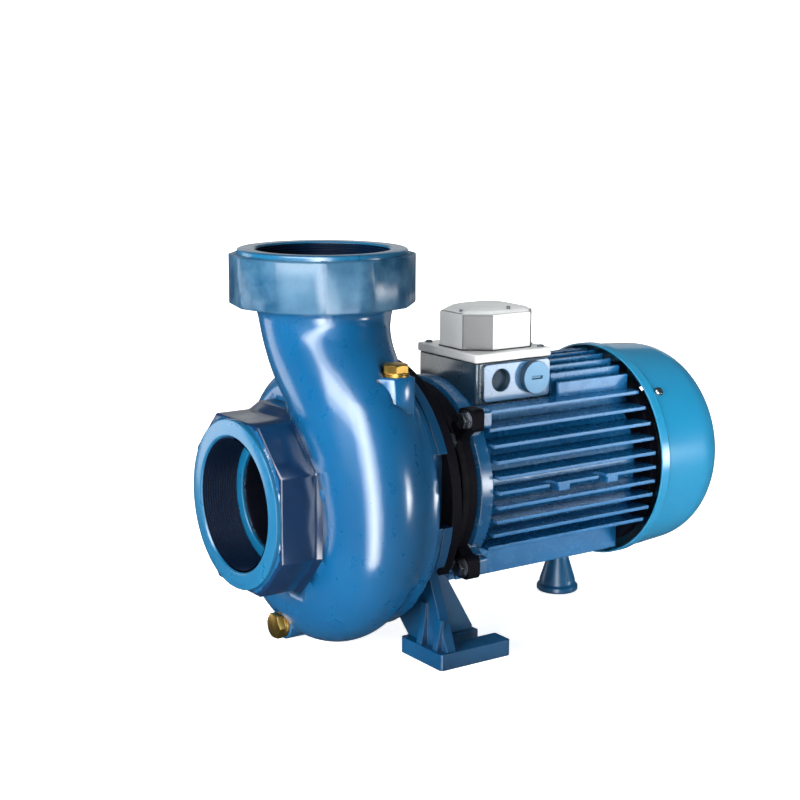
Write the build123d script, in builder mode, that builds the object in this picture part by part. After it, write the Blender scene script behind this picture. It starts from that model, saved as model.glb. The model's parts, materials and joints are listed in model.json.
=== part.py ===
from build123d import *
import math
import os

os.makedirs("parts", exist_ok=True)

# ---------------------------------------------------------------- frame
# millimetres, +Z up, floor at Z = 0, +X along the shaft from suction to fan
# origin: on the floor, midway between the two anchor slots of the front foot
AXIS_Z = 134.0            # height of the shaft axis above the floor
X_FACE = -160.0           # face of the suction port

# ---------------------------------------------------------------- driving dimensions
# ports: G4 internal pipe thread, drawn at its major diameter
THREAD_R = 113.03 / 2
THREAD_LEN = 34.0
BORE_R = 46.0             # bore behind the thread
MOUTH_R = 58.0            # chamfered mouth
RING_R = 71.0             # turned ring on the port face
RING_T = 4.4
SOCKET_AF = 142.5         # across the flats of the suction socket
SOCKET_LEG = 36.0         # corner facet leg
SOCKET_BASE_AF = 154.0
SOCKET_X1 = X_FACE + 36.0
SOCKET_X2 = X_FACE + 47.0
SOCKET_X3 = X_FACE + 68.0

VOL_X = X_FACE + 88.0     # plane of the volute and of the discharge port
PORT_TOP = AXIS_Z + 207.6
BOSS_H = 42.0             # height of the twelve-sided discharge boss
BOSS_AF = 151.0
WALL = 7.0
BOSS_ROT = 0.0

BACK_X0 = X_FACE + 110.0  # rear flange of the casing
BACK_X1 = X_FACE + 124.0
BACK_R = 121.0
CHAMBER_R = 92.0

COVER_T = 10.0            # back cover
COVER_R = 112.0
BOLT_RING_R = 102.5
SPIRAL_X = X_FACE + 82.0
COVER_X1 = BACK_X1 + COVER_T

FOOT_RING_T = 9.0         # ring of the front foot, clamped behind the cover
LAN_X0 = COVER_X1 + FOOT_RING_T
LAN_X1 = X_FACE + 187.0   # motor end of the lantern
EAR_R = 113.0             # ears of the foot ring
EARS = [(85.0, 66.0), (-85.0, 66.0), (82.0, -62.0), (-82.0, -62.0)]   # motor tie bolts, y and z from the axis
BOLT_ANGLES = (30.0, 90.0, 150.0, 210.0, 330.0)

MOT_X0 = X_FACE + 187.0
MOT_RING_R = 89.5
SHIELD_T = 17.0
STAT_X0 = MOT_X0 + SHIELD_T
STAT_X1 = X_FACE + 374.0
FIN_X1 = X_FACE + 383.0
BARREL_R = 77.0
FIN_R = 96.5
FIN_T = 3.2
REAR_X1 = X_FACE + 392.0

FAN_X0 = X_FACE + 402.0
COWL_X0 = X_FACE + 387.0
COWL_X1 = X_FACE + 480.0
COWL_R = 99.5
COWL_LIP_R = 101.0
COWL_T = 1.6
COWL_SCREW_X = X_FACE + 403.0
COWL_SCREWS = [(-75.0, 65.0), (75.0, 65.0), (0.0, -99.2)]

BOX_X0 = X_FACE + 217.0
BOX_X1 = X_FACE + 299.5
BOX_Y = 43.5
BOX_Z0 = AXIS_Z + 66.0
BOX_Z1 = AXIS_Z + 103.0
PANEL_T = 2.5
ENTRY_X1, ENTRY_X2, ENTRY_Z = 242.5, 277.5, 87.4
LID_T = 7.6
DOME_H = 32.0
CROWN_H = 5.5

SHAFT_R = 12.0

FOOT_T = 14.0
PAD_X0, PAD_X1 = -33.5, 39.0
PAD_Y0, PAD_Y1 = 61.0, 120.4
SLOT_W = 15.0

CONE_X = X_FACE + 351.0
CONE_R = 19.6


def yz(x, y=0.0, z=AXIS_Z):
    """Plane across the shaft at x, its normal along +X, its x axis along +Y."""
    return Plane(origin=(x, y, z), x_dir=(0, 1, 0), z_dir=(1, 0, 0))


def hex_pts(af):
    r = af / math.sqrt(3)
    return [(r * math.cos(math.radians(60 * i)), r * math.sin(math.radians(60 * i))) for i in range(6)]


def octagon(af, leg):
    a = af / 2
    b = a - leg
    return [(b, a), (-b, a), (-a, b), (-a, -b), (-b, -a), (b, -a), (a, -b), (a, b)]


BOLT_YZ = [(BOLT_RING_R * math.cos(math.radians(a)), BOLT_RING_R * math.sin(math.radians(a))) for a in BOLT_ANGLES]


def dome_pts(inset):
    """Eight-sided outline of the lid dome, x from the suction face."""
    k = 1.0 - inset / 34.0
    pts = [(221, -17), (242, -34), (284, -34), (299, -17), (299, 17), (284, 34), (242, 34), (221, 17)]
    return [(260.0 + (x - 260.0) * k, y * k) for x, y in pts]


LID_SCREWS = [(225.0, 38.5), (293.5, -37.0)]


def save(builder, name):
    builder.part.label = name
    export_step(builder.part, "parts/" + name + ".step")


# ---------------------------------------------------------------- volute casing
# spiral: angle from the top over the far side (+Y), centre radius, tube radius
SPIRAL = [
    (45, 82.0, 21.0), (75, 84.5, 29.0), (110, 86.5, 32.5), (145, 88.0, 35.5),
    (180, 89.0, 38.0), (215, 90.0, 40.0), (250, 90.5, 41.5),
]
# swan neck: x behind the suction face, y, z above the axis, tube radius, inner half width along the shaft
NECK = [
    (82.0, -90.5, 0.0, 42.5, 34.0), (81.5, -82.0, 42.0, 45.0, 34.5), (81.0, -60.0, 80.0, 47.5, 35.0),
    (83.0, -32.0, 108.0, 50.0, 34.0), (87.0, -10.0, 137.0, 54.0, 37.0), (88.0, 0.0, 174.0, 58.0, 48.0),
]


def sections(inner):
    """Planes and half widths of the passage, from the tongue to the discharge port."""
    out = []
    for t, rc, a in SPIRAL:
        c, s = math.cos(math.radians(t)), math.sin(math.radians(t))
        pl = Plane(origin=(SPIRAL_X, rc * s, AXIS_Z + rc * c), x_dir=(1, 0, 0), z_dir=(0, c, -s))
        out.append((pl, min(a - WALL, 34.0), a - WALL) if inner else (pl, a, a))
    last = len(NECK) - 1
    for i, (x, y, z, a, hx) in enumerate(NECK):
        p, q = NECK[max(i - 1, 0)], NECK[min(i + 1, last)]
        ty, tz = (0.0, 1.0) if i in (0, last) else (q[1] - p[1], q[2] - p[2])
        ln = math.hypot(ty, tz)
        pl = Plane(origin=(X_FACE + x, y, AXIS_Z + z), x_dir=(1, 0, 0), z_dir=(0, ty / ln, tz / ln))
        if inner:
            out.append((pl, hx, 48.0 if i == last else a - WALL))
        else:
            out.append((pl, a, a))
    return out


def tube(secs):
    """Lofted tube through round sections."""
    with BuildPart() as b:
        for pl, rx, ry in secs:
            with BuildSketch(pl):
                if abs(rx - ry) < 0.01:
                    Circle(rx)
                else:
                    Ellipse(rx, ry)
        loft()
    return b.part


passage_out = tube(sections(False))
passage_in = tube(sections(True))

PLUG_X, PLUG_Y, PLUG_TOP = X_FACE + 98.5, -93.0, AXIS_Z + 112.5
DRAIN_X, DRAIN_Y, DRAIN_Z = X_FACE + 53.5, 12.0, AXIS_Z - 116.5
PLUG_HOLE_R = 8.3

with BuildPart() as casing:
    # front wall, impeller chamber wall and rear flange, turned about the shaft axis
    with BuildSketch(Plane.XZ) as prof:
        with BuildLine():
            Polyline(
                (X_FACE + 60.0, AXIS_Z), (X_FACE + 60.0, AXIS_Z + 74.0), (X_FACE + 64.0, AXIS_Z + 96.0),
                (X_FACE + 74.0, AXIS_Z + 108.0), (BACK_X0 - 8.0, AXIS_Z + 112.0), (BACK_X0, AXIS_Z + BACK_R),
                (BACK_X1, AXIS_Z + BACK_R), (BACK_X1, AXIS_Z), (X_FACE + 60.0, AXIS_Z),
            )
        make_face()
    revolve(axis=Axis((0, 0, AXIS_Z), (1, 0, 0)))
    add(passage_out)
    # socket: front octagon, flared band, larger octagon at the root
    with BuildSketch(yz(X_FACE + RING_T)):
        Polygon(*octagon(SOCKET_AF, SOCKET_LEG), align=None)
    extrude(amount=SOCKET_X1 - X_FACE - RING_T)
    with BuildSketch(yz(SOCKET_X1)):
        Polygon(*octagon(SOCKET_AF, SOCKET_LEG), align=None)
    with BuildSketch(yz(SOCKET_X2)):
        Polygon(*octagon(SOCKET_BASE_AF, SOCKET_LEG + 4.0), align=None)
    loft(ruled=True)
    with BuildSketch(yz(SOCKET_X2)):
        Polygon(*octagon(SOCKET_BASE_AF, SOCKET_LEG + 4.0), align=None)
    extrude(amount=SOCKET_X3 - SOCKET_X2)
    # turned ring on the suction face
    with BuildSketch(yz(X_FACE)):
        Circle(RING_R)
    extrude(amount=RING_T + 0.5)
    # discharge boss, twelve-sided, with its turned ring
    with BuildSketch(Plane.XY.offset(PORT_TOP - 4.0 - BOSS_H)):
        with Locations((VOL_X, 0)):
            RegularPolygon(BOSS_AF / 2, 12, major_radius=False, rotation=BOSS_ROT)
    extrude(amount=BOSS_H)
    with BuildSketch(Plane.XY.offset(PORT_TOP - 4.5)):
        with Locations((VOL_X, 0)):
            Circle(71.0)
    extrude(amount=4.5)
    # boss of the priming plug
    with BuildSketch(Plane.XY.offset(AXIS_Z + 60.0)):
        with Locations((X_FACE, 0)):
            Polygon((78.0, -91.0), (88.6, -106.5), (106.0, -107.5), (110.0, -104.0), (113.0, -78.0), (79.0, -76.0), align=None)
    extrude(amount=PLUG_TOP - AXIS_Z - 60.0)
    with BuildSketch(Plane.XY.offset(PLUG_TOP)):
        with Locations((PLUG_X, PLUG_Y)):
            Circle(11.8)
    extrude(amount=16.0, mode=Mode.SUBTRACT)
    # boss of the drain plug, pointing forward from the bottom of the volute
    with BuildSketch(yz(DRAIN_X, DRAIN_Y, DRAIN_Z)):
        Circle(13.0)
    extrude(amount=30.0)
    with BuildSketch(yz(DRAIN_X, DRAIN_Y, DRAIN_Z)):
        Circle(13.0)
    extrude(amount=-25.0, mode=Mode.SUBTRACT)
    # flat seat of the back cover and room for the lantern
    with BuildSketch(yz(BACK_X1)):
        Circle(COVER_R + 1.5)
    extrude(amount=90.0, mode=Mode.SUBTRACT)
    # water passage
    add(passage_in, mode=Mode.SUBTRACT)
    with BuildSketch(yz(X_FACE - 1.0)):
        Circle(BORE_R)
    extrude(amount=100.0, mode=Mode.SUBTRACT)
    with BuildSketch(yz(X_FACE - 1.0)):
        Circle(THREAD_R)
    extrude(amount=THREAD_LEN + 1.0, mode=Mode.SUBTRACT)
    with BuildSketch(yz(X_FACE + 76.0)):
        Circle(CHAMBER_R)
    extrude(amount=60.0, mode=Mode.SUBTRACT)
    with BuildSketch(Plane.XY.offset(PORT_TOP - THREAD_LEN)):
        with Locations((VOL_X, 0)):
            Circle(THREAD_R)
    extrude(amount=THREAD_LEN + 1.0, mode=Mode.SUBTRACT)
    # chamfered mouths
    with BuildSketch(Plane.XZ):
        with BuildLine():
            Polyline(
                (X_FACE - 0.5, AXIS_Z), (X_FACE - 0.5, AXIS_Z + MOUTH_R + 0.5), (X_FACE + 1.5, AXIS_Z + THREAD_R),
                (X_FACE + 1.5, AXIS_Z), (X_FACE - 0.5, AXIS_Z),
            )
        make_face()
    revolve(axis=Axis((0, 0, AXIS_Z), (1, 0, 0)), mode=Mode.SUBTRACT)
    with BuildSketch(Plane.XZ):
        with BuildLine():
            Polyline(
                (VOL_X, PORT_TOP + 0.5), (VOL_X + MOUTH_R + 0.5, PORT_TOP + 0.5), (VOL_X + THREAD_R, PORT_TOP - 1.5),
                (VOL_X, PORT_TOP - 1.5), (VOL_X, PORT_TOP + 0.5),
            )
        make_face()
    revolve(axis=Axis((VOL_X, 0, 0), (0, 0, 1)), mode=Mode.SUBTRACT)
    # plug holes
    with BuildSketch(Plane.XY.offset(PLUG_TOP - 13.0)):
        with Locations((PLUG_X, PLUG_Y)):
            Circle(PLUG_HOLE_R)
    extrude(amount=30.0, mode=Mode.SUBTRACT)
    with BuildSketch(yz(DRAIN_X - 2.0, DRAIN_Y, DRAIN_Z)):
        Circle(PLUG_HOLE_R)
    extrude(amount=18.0, mode=Mode.SUBTRACT)
    # cover bolt holes in the rear flange
    with BuildSketch(yz(BACK_X1 - 6.0)):
        with Locations(*BOLT_YZ):
            Circle(3.5)
    extrude(amount=8.0, mode=Mode.SUBTRACT)
save(casing, "volute_casing")

# ---------------------------------------------------------------- plugs
with BuildPart() as plug:
    with BuildSketch(Plane.XY.offset(PLUG_TOP - 12.0)):
        with Locations((PLUG_X, PLUG_Y)):
            Circle(PLUG_HOLE_R - 0.1)
    extrude(amount=14.0)
    with BuildSketch(Plane.XY.offset(PLUG_TOP + 1.6)):
        with Locations((PLUG_X, PLUG_Y)):
            Circle(10.9)
    extrude(amount=1.6)
    with BuildSketch(Plane.XY.offset(PLUG_TOP + 3.2)):
        with Locations((PLUG_X, PLUG_Y)):
            Polygon(*hex_pts(19.0), align=None)
    extrude(amount=6.6)
save(plug, "priming_plug")

with BuildPart() as washer:
    with BuildSketch(Plane.XY.offset(PLUG_TOP)):
        with Locations((PLUG_X, PLUG_Y)):
            Circle(11.0)
            Circle(PLUG_HOLE_R, mode=Mode.SUBTRACT)
    extrude(amount=1.6)
save(washer, "priming_plug_washer")

with BuildPart() as dplug:
    with BuildSketch(yz(DRAIN_X - 2.0, DRAIN_Y, DRAIN_Z)):
        Circle(PLUG_HOLE_R - 0.1)
    extrude(amount=14.0)
    with BuildSketch(yz(DRAIN_X - 3.2, DRAIN_Y, DRAIN_Z)):
        Circle(11.2)
    extrude(amount=1.6)
    with BuildSketch(yz(DRAIN_X - 10.2, DRAIN_Y, DRAIN_Z)):
        Polygon(*hex_pts(20.0), align=None)
    extrude(amount=7.0)
save(dplug, "drain_plug")

with BuildPart() as dwasher:
    with BuildSketch(yz(DRAIN_X - 1.6, DRAIN_Y, DRAIN_Z)):
        Circle(11.0)
        Circle(PLUG_HOLE_R, mode=Mode.SUBTRACT)
    extrude(amount=1.6)
save(dwasher, "drain_plug_washer")

# ---------------------------------------------------------------- back cover and seal
with BuildPart() as cover:
    with BuildSketch(yz(BACK_X1)):
        Circle(COVER_R)
    extrude(amount=COVER_T)
    with BuildSketch(yz(BACK_X1 - 8.0)):
        Circle(CHAMBER_R - 0.3)
    extrude(amount=8.0)
    with BuildSketch(yz(COVER_X1)):
        Circle(34.0)
    extrude(amount=10.0)
    with BuildSketch(yz(BACK_X1 - 9.0)):
        Circle(24.0)
    extrude(amount=40.0, mode=Mode.SUBTRACT)
    with BuildSketch(yz(BACK_X1 - 1.0)):
        with Locations(*BOLT_YZ):
            Circle(4.5)
        with Locations((-110.0, 15.0), (110.0, 15.0)):
            Rectangle(24.0, 60.0)
    extrude(amount=COVER_T + 2.0, mode=Mode.SUBTRACT)
save(cover, "casing_cover")

with BuildPart() as seal:
    with BuildSketch(yz(BACK_X1 - 6.0)):
        Circle(23.8)
        Circle(SHAFT_R + 0.2, mode=Mode.SUBTRACT)
    extrude(amount=26.0)
save(seal, "shaft_seal")

# ---------------------------------------------------------------- impeller
IMP_X0, IMP_X1 = X_FACE + 80.0, X_FACE + 114.0
with BuildPart() as imp:
    with BuildSketch(Plane.XZ):
        with BuildLine():
            Polyline(
                (IMP_X1 - 4.0, AXIS_Z + SHAFT_R + 0.1), (IMP_X1, AXIS_Z + SHAFT_R + 0.1), (IMP_X1, AXIS_Z + 80.0), (IMP_X1 - 4.0, AXIS_Z + 80.0),
                (IMP_X1 - 5.0, AXIS_Z + 40.0), (IMP_X0 + 6.0, AXIS_Z + 20.0), (IMP_X0, AXIS_Z + 19.0), (IMP_X0, AXIS_Z + SHAFT_R + 0.1),
                (IMP_X1 - 4.0, AXIS_Z + SHAFT_R + 0.1),
            )
        make_face()
    revolve(axis=Axis((0, 0, AXIS_Z), (1, 0, 0)))
    # front shroud with the eye
    with BuildSketch(Plane.XZ):
        with BuildLine():
            Polyline(
                (IMP_X0 - 2.0, AXIS_Z + 46.0), (IMP_X0 + 4.0, AXIS_Z + 46.0), (IMP_X0 + 14.0, AXIS_Z + 60.0), (IMP_X0 + 18.0, AXIS_Z + 80.0),
                (IMP_X0 + 14.0, AXIS_Z + 80.0), (IMP_X0 + 8.0, AXIS_Z + 62.0), (IMP_X0 - 2.0, AXIS_Z + 51.0), (IMP_X0 - 2.0, AXIS_Z + 46.0),
            )
        make_face()
    revolve(axis=Axis((0, 0, AXIS_Z), (1, 0, 0)))
    # backward-curved vanes
    with BuildSketch(yz(IMP_X0 + 10.0)):
        with PolarLocations(0, 6):
            with BuildLine():
                l1 = ThreePointArc((26.0, 0.0), (48.0, -18.0), (60.0, -46.0))
                l2 = Line(l1 @ 1, (64.0, -44.0))
                l3 = ThreePointArc(l2 @ 1, (51.0, -15.0), (26.0, 5.0))
                Line(l3 @ 1, l1 @ 0)
            make_face()
    extrude(amount=IMP_X1 - IMP_X0 - 12.0)
save(imp, "impeller")

with BuildPart() as nut:
    with BuildSketch(yz(IMP_X0 - 12.0)):
        Polygon(*hex_pts(22.0), align=None)
        Circle(6.2, mode=Mode.SUBTRACT)
    extrude(amount=12.0)
save(nut, "impeller_nut")

with BuildPart() as shaft:
    with BuildSketch(yz(IMP_X0 - 16.0)):
        Circle(6.0)
    extrude(amount=16.0)
    with BuildSketch(yz(IMP_X0)):
        Circle(SHAFT_R)
    extrude(amount=FAN_X0 + 24.0 - IMP_X0)
save(shaft, "pump_shaft")

# ---------------------------------------------------------------- lantern bracket
with BuildPart() as lantern:
    with BuildSketch(Plane.XZ):
        with BuildLine():
            Polyline(
                (LAN_X0, AXIS_Z + 60.0), (LAN_X0, AXIS_Z + 98.0), (LAN_X0 + 9.0, AXIS_Z + 98.0),
                (LAN_X0 + 9.0, AXIS_Z + 92.0), (LAN_X0 + 12.0, AXIS_Z + 91.0), (LAN_X1 - 12.0, AXIS_Z + 84.0), (LAN_X1 - 9.0, AXIS_Z + 87.0), (LAN_X1, AXIS_Z + 87.0),
                (LAN_X1, AXIS_Z + 60.0), (LAN_X1 - 6.0, AXIS_Z + 60.0), (LAN_X1 - 9.0, AXIS_Z + 76.0), (LAN_X0 + 9.0, AXIS_Z + 84.0),
                (LAN_X0 + 6.0, AXIS_Z + 60.0), (LAN_X0, AXIS_Z + 60.0),
            )
        make_face()
    revolve(axis=Axis((0, 0, AXIS_Z), (1, 0, 0)))
    # bolting flange, trimmed above the foot
    with BuildSketch(yz(LAN_X0)):
        Circle(112.0)
        with Locations((0, -100.0)):
            Rectangle(240.0, 78.0, mode=Mode.SUBTRACT)
        Circle(95.0, mode=Mode.SUBTRACT)
    extrude(amount=9.0)
    # ears of the motor flange
    with BuildSketch(yz(LAN_X1 - 12.0)):
        with Locations(*EARS):
            RectangleRounded(20.0, 20.0, 5.0)
        Circle(80.0, mode=Mode.SUBTRACT)
        for y, z in EARS:
            with Locations(Location((y * 0.88, z * 0.88), math.degrees(math.atan2(z, y)))):
                Rectangle(16.0, 16.0)
    extrude(amount=12.0)
    # side and top windows
    for ang in (0.0, 90.0, 180.0, 270.0):
        c, s = math.cos(math.radians(ang)), math.sin(math.radians(ang))
        with BuildSketch(Plane(origin=(0, 0, AXIS_Z), x_dir=(1, 0, 0), z_dir=(0, c, s))):
            with Locations(((LAN_X0 + 11.0 + LAN_X1 - 13.0) / 2, 0)):
                RectangleRounded(LAN_X1 - LAN_X0 - 24.0, 84.0, 5.0)
        extrude(amount=120.0, mode=Mode.SUBTRACT)
    # bolt holes
    with BuildSketch(yz(LAN_X0 - 1.0)):
        with Locations(*BOLT_YZ):
            Circle(4.5)
    extrude(amount=11.0, mode=Mode.SUBTRACT)
    with BuildSketch(yz(LAN_X1 - 13.0)):
        with Locations(*EARS):
            Circle(4.5)
    extrude(amount=14.0, mode=Mode.SUBTRACT)
save(lantern, "lantern_bracket")

with BuildPart() as cbolts:
    with BuildSketch(yz(BACK_X1 - 5.0)):
        with Locations(*BOLT_YZ):
            Circle(3.4)
    extrude(amount=5.0 + LAN_X0 + 10.0 - BACK_X1)
    with BuildSketch(yz(LAN_X0 + 9.0)):
        with Locations(*BOLT_YZ):
            Polygon(*hex_pts(13.0), align=None)
    extrude(amount=5.5)
save(cbolts, "casing_bolts")

with BuildPart() as mbolts:
    with BuildSketch(yz(LAN_X1 - 13.0)):
        with Locations(*EARS):
            Circle(3.4)
    extrude(amount=21.0)
    with BuildSketch(yz(LAN_X1 - 18.4)):
        with Locations(*EARS):
            Polygon(*hex_pts(13.0), align=None)
    extrude(amount=6.4)
save(mbolts, "motor_bolts")

# ---------------------------------------------------------------- front foot
WEB_X0 = COVER_X1
with BuildPart() as foot:
    # ring behind the cover, its ears above and below the side recess
    with BuildSketch(yz(WEB_X0)):
        Circle(EAR_R)
        with Locations((0, -86.0)):
            Rectangle(260.0, 68.0, mode=Mode.SUBTRACT)
        Circle(108.0)
        with Locations((-110.0, 15.0), (110.0, 15.0)):
            Rectangle(28.0, 60.0, mode=Mode.SUBTRACT)
    extrude(amount=FOOT_RING_T)
    for sgn in (-1, 1):
        # anchor pad with an open slot
        with BuildSketch(Plane.XY):
            with Locations(((PAD_X0 + PAD_X1) / 2, sgn * (PAD_Y0 + PAD_Y1) / 2)):
                RectangleRounded(PAD_X1 - PAD_X0, PAD_Y1 - PAD_Y0, 3.0)
            with Locations((PAD_X1 - 14.0, sgn * 91.2)):
                Rectangle(60.0, SLOT_W, mode=Mode.SUBTRACT)
            with Locations((PAD_X1 - 44.0, sgn * 91.2)):
                Circle(SLOT_W / 2, mode=Mode.SUBTRACT)
            # inner tongue is shorter than the outer one
            with Locations((PAD_X1, sgn * 72.0)):
                Rectangle(14.0, 26.0, mode=Mode.SUBTRACT)
        extrude(amount=FOOT_T)
    # cross web below the ring
    with BuildSketch(Plane(origin=(WEB_X0, 0, 0), x_dir=(0, 1, 0), z_dir=(1, 0, 0))):
        with BuildLine():
            Polyline(
                (-119.0, FOOT_T - 1.0), (-89.6, AXIS_Z - 56.0), (-78.0, AXIS_Z - 40.0), (78.0, AXIS_Z - 40.0), (89.6, AXIS_Z - 56.0),
                (119.0, FOOT_T - 1.0), (63.0, FOOT_T - 1.0), (46.0, 28.0), (-46.0, 28.0), (-63.0, FOOT_T - 1.0), (-119.0, FOOT_T - 1.0),
            )
        make_face()
    extrude(amount=FOOT_RING_T)
    for sgn in (-1, 1):
        # gusset to the inner tongue, rib and gusset in front of the web
        with BuildSketch(Plane(origin=(0, sgn * 74.5 + 4.0, 0), x_dir=(1, 0, 0), z_dir=(0, -1, 0))):
            with BuildLine():
                Polyline((WEB_X0 + 2.0, FOOT_T - 1.0), (WEB_X0 + 2.0, AXIS_Z - 60.0), (-7.0, AXIS_Z - 63.0), (3.0, AXIS_Z - 71.0), (PAD_X1 - 9.5, FOOT_T + 3.0), (PAD_X1 - 9.5, FOOT_T - 1.0), (WEB_X0 + 2.0, FOOT_T - 1.0))
            make_face()
        extrude(amount=8.0)
        with BuildSketch(Plane(origin=(0, sgn * 86.5 + 3.5, 0), x_dir=(1, 0, 0), z_dir=(0, -1, 0))):
            with BuildLine():
                l1 = Line((WEB_X0 + 2.0, FOOT_T - 1.0), (WEB_X0 + 2.0, AXIS_Z - 84.0))
                l2 = Line(l1 @ 1, (WEB_X0 - 2.0, AXIS_Z - 84.0))
                l3 = ThreePointArc(l2 @ 1, (WEB_X0 - 3.0, AXIS_Z - 100.0), (PAD_X0 + 1.0, FOOT_T + 2.0))
                l4 = Line(l3 @ 1, (PAD_X0 + 1.0, FOOT_T - 1.0))
                Line(l4 @ 1, l1 @ 0)
            make_face()
        extrude(amount=7.0)
        with BuildSketch(Plane(origin=(0, sgn * 108.0 + 3.0, 0), x_dir=(1, 0, 0), z_dir=(0, -1, 0))):
            with BuildLine():
                Polyline((WEB_X0 + 2.0, FOOT_T - 1.0), (WEB_X0 + 2.0, 40.0), (WEB_X0 - 0.5, 40.0), (PAD_X0 + 2.0, FOOT_T + 2.0), (PAD_X0 + 2.0, FOOT_T - 1.0), (WEB_X0 + 2.0, FOOT_T - 1.0))
            make_face()
        extrude(amount=6.0)
    # seat of the lantern, bolt holes
    with BuildSketch(yz(WEB_X0 - 1.0)):
        Circle(90.0)
    extrude(amount=FOOT_RING_T + 1.0, mode=Mode.SUBTRACT)
    with BuildSketch(yz(LAN_X0)):
        Circle(98.5)
    extrude(amount=60.0, mode=Mode.SUBTRACT)
    with BuildSketch(yz(WEB_X0 - 1.0)):
        with Locations(*BOLT_YZ):
            Circle(4.5)
    extrude(amount=FOOT_RING_T + 2.0, mode=Mode.SUBTRACT)
save(foot, "front_foot")

# ---------------------------------------------------------------- motor
with BuildPart() as fshield:
    with BuildSketch(Plane.XZ):
        with BuildLine():
            Polyline(
                (MOT_X0, AXIS_Z + 14.0), (MOT_X0, AXIS_Z + 84.0), (MOT_X0 + 3.0, AXIS_Z + MOT_RING_R), (MOT_X0 + SHIELD_T - 2.0, AXIS_Z + MOT_RING_R),
                (MOT_X0 + SHIELD_T, AXIS_Z + MOT_RING_R - 2.0), (MOT_X0 + SHIELD_T, AXIS_Z + 14.0), (MOT_X0, AXIS_Z + 14.0),
            )
        make_face()
    revolve(axis=Axis((0, 0, AXIS_Z), (1, 0, 0)))
    # lugs of the tie bolts
    with BuildSketch(yz(MOT_X0)):
        with Locations(*EARS):
            RectangleRounded(17.0, 15.0, 2.5)
        for y, z in EARS:
            with Locations(Location((y * 0.86, z * 0.86), math.degrees(math.atan2(z, y)))):
                Rectangle(20.0, 14.0)
    extrude(amount=9.0)
    with BuildSketch(yz(MOT_X0 - 1.0)):
        with Locations(*EARS):
            Circle(3.5)
    extrude(amount=10.0, mode=Mode.SUBTRACT)
save(fshield, "motor_front_shield")

FIN_ZS = [66.0 - 13.0 * i for i in range(10)]
FIN_YS_TOP = [62.0 - 11.5 * i for i in range(11)]
FIN_YS_BOT = [44.0 - 11.0 * i for i in range(9)]
CLIP_XS = (X_FACE + 275.0, X_FACE + 331.0)
with BuildPart() as stator:
    with BuildSketch(yz(STAT_X0)):
        Circle(BARREL_R)
    extrude(amount=STAT_X1 - STAT_X0)
    with BuildSketch(yz(STAT_X0)) as fins:
        for z in FIN_ZS:
            reach = math.sqrt(FIN_R ** 2 - z ** 2)
            with Locations((0, z)):
                Rectangle(2 * reach, FIN_T)
        for y in FIN_YS_TOP:
            reach = math.sqrt(FIN_R ** 2 - y ** 2)
            with Locations((y, reach / 2)):
                Rectangle(FIN_T, reach)
        for y in FIN_YS_BOT:
            reach = math.sqrt(FIN_R ** 2 - y ** 2)
            with Locations((y, -reach / 2)):
                Rectangle(FIN_T, reach)
    extrude(amount=FIN_X1 - STAT_X0)
    # seat of the terminal box
    with BuildSketch(yz(STAT_X0 - 1.0)):
        with Locations((0, 100.0)):
            Rectangle(2 * BOX_Y + 8.0, 80.0)
        with Locations((0, 107.8)):
            Rectangle(150.0, 80.0)
        Circle(BARREL_R, mode=Mode.SUBTRACT)
    extrude(amount=BOX_X1 - STAT_X0 + 2.5, mode=Mode.SUBTRACT)
    # room for the rear shield inside the fin ends
    with BuildSketch(yz(STAT_X1)):
        Circle(BARREL_R + 0.05)
    extrude(amount=20.0, mode=Mode.SUBTRACT)
    # clips on the middle fin, each behind a notch
    with BuildSketch(Plane.XY.offset(AXIS_Z - 3.0)):
        with Locations(*[(x - 12.0, sgn * 93.0) for x in CLIP_XS for sgn in (-1, 1)]):
            Rectangle(9.0, 14.0)
    extrude(amount=8.0, mode=Mode.SUBTRACT)
    with BuildSketch(Plane.XY.offset(AXIS_Z - 5.5)):
        with Locations(*[(x, sgn * 90.5) for x in CLIP_XS for sgn in (-1, 1)]):
            Rectangle(12.0, 12.0)
    extrude(amount=6.0)
    with BuildSketch(yz(STAT_X0 - 1.0)):
        Circle(SHAFT_R + 1.0)
    extrude(amount=200.0, mode=Mode.SUBTRACT)
save(stator, "stator_housing")

with BuildPart() as rshield:
    with BuildSketch(yz(STAT_X1)):
        Circle(BARREL_R)
        Circle(SHAFT_R + 1.0, mode=Mode.SUBTRACT)
    extrude(amount=REAR_X1 - STAT_X1)
    with BuildSketch(yz(FIN_X1 + 1.0)):
        Circle(90.0)
        Circle(70.0, mode=Mode.SUBTRACT)
    extrude(amount=REAR_X1 - FIN_X1 - 1.0)
save(rshield, "motor_rear_shield")

with BuildPart() as fan:
    with BuildSketch(yz(FAN_X0)):
        Circle(80.0)
        Circle(SHAFT_R + 0.1, mode=Mode.SUBTRACT)
    extrude(amount=3.0)
    with BuildSketch(yz(FAN_X0 + 3.0)):
        Circle(24.0)
        Circle(SHAFT_R + 0.1, mode=Mode.SUBTRACT)
    extrude(amount=20.0)
    with BuildSketch(yz(FAN_X0 + 3.0)):
        with PolarLocations(52.0, 8):
            Rectangle(58.0, 3.0)
    extrude(amount=26.0)
save(fan, "cooling_fan")

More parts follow.
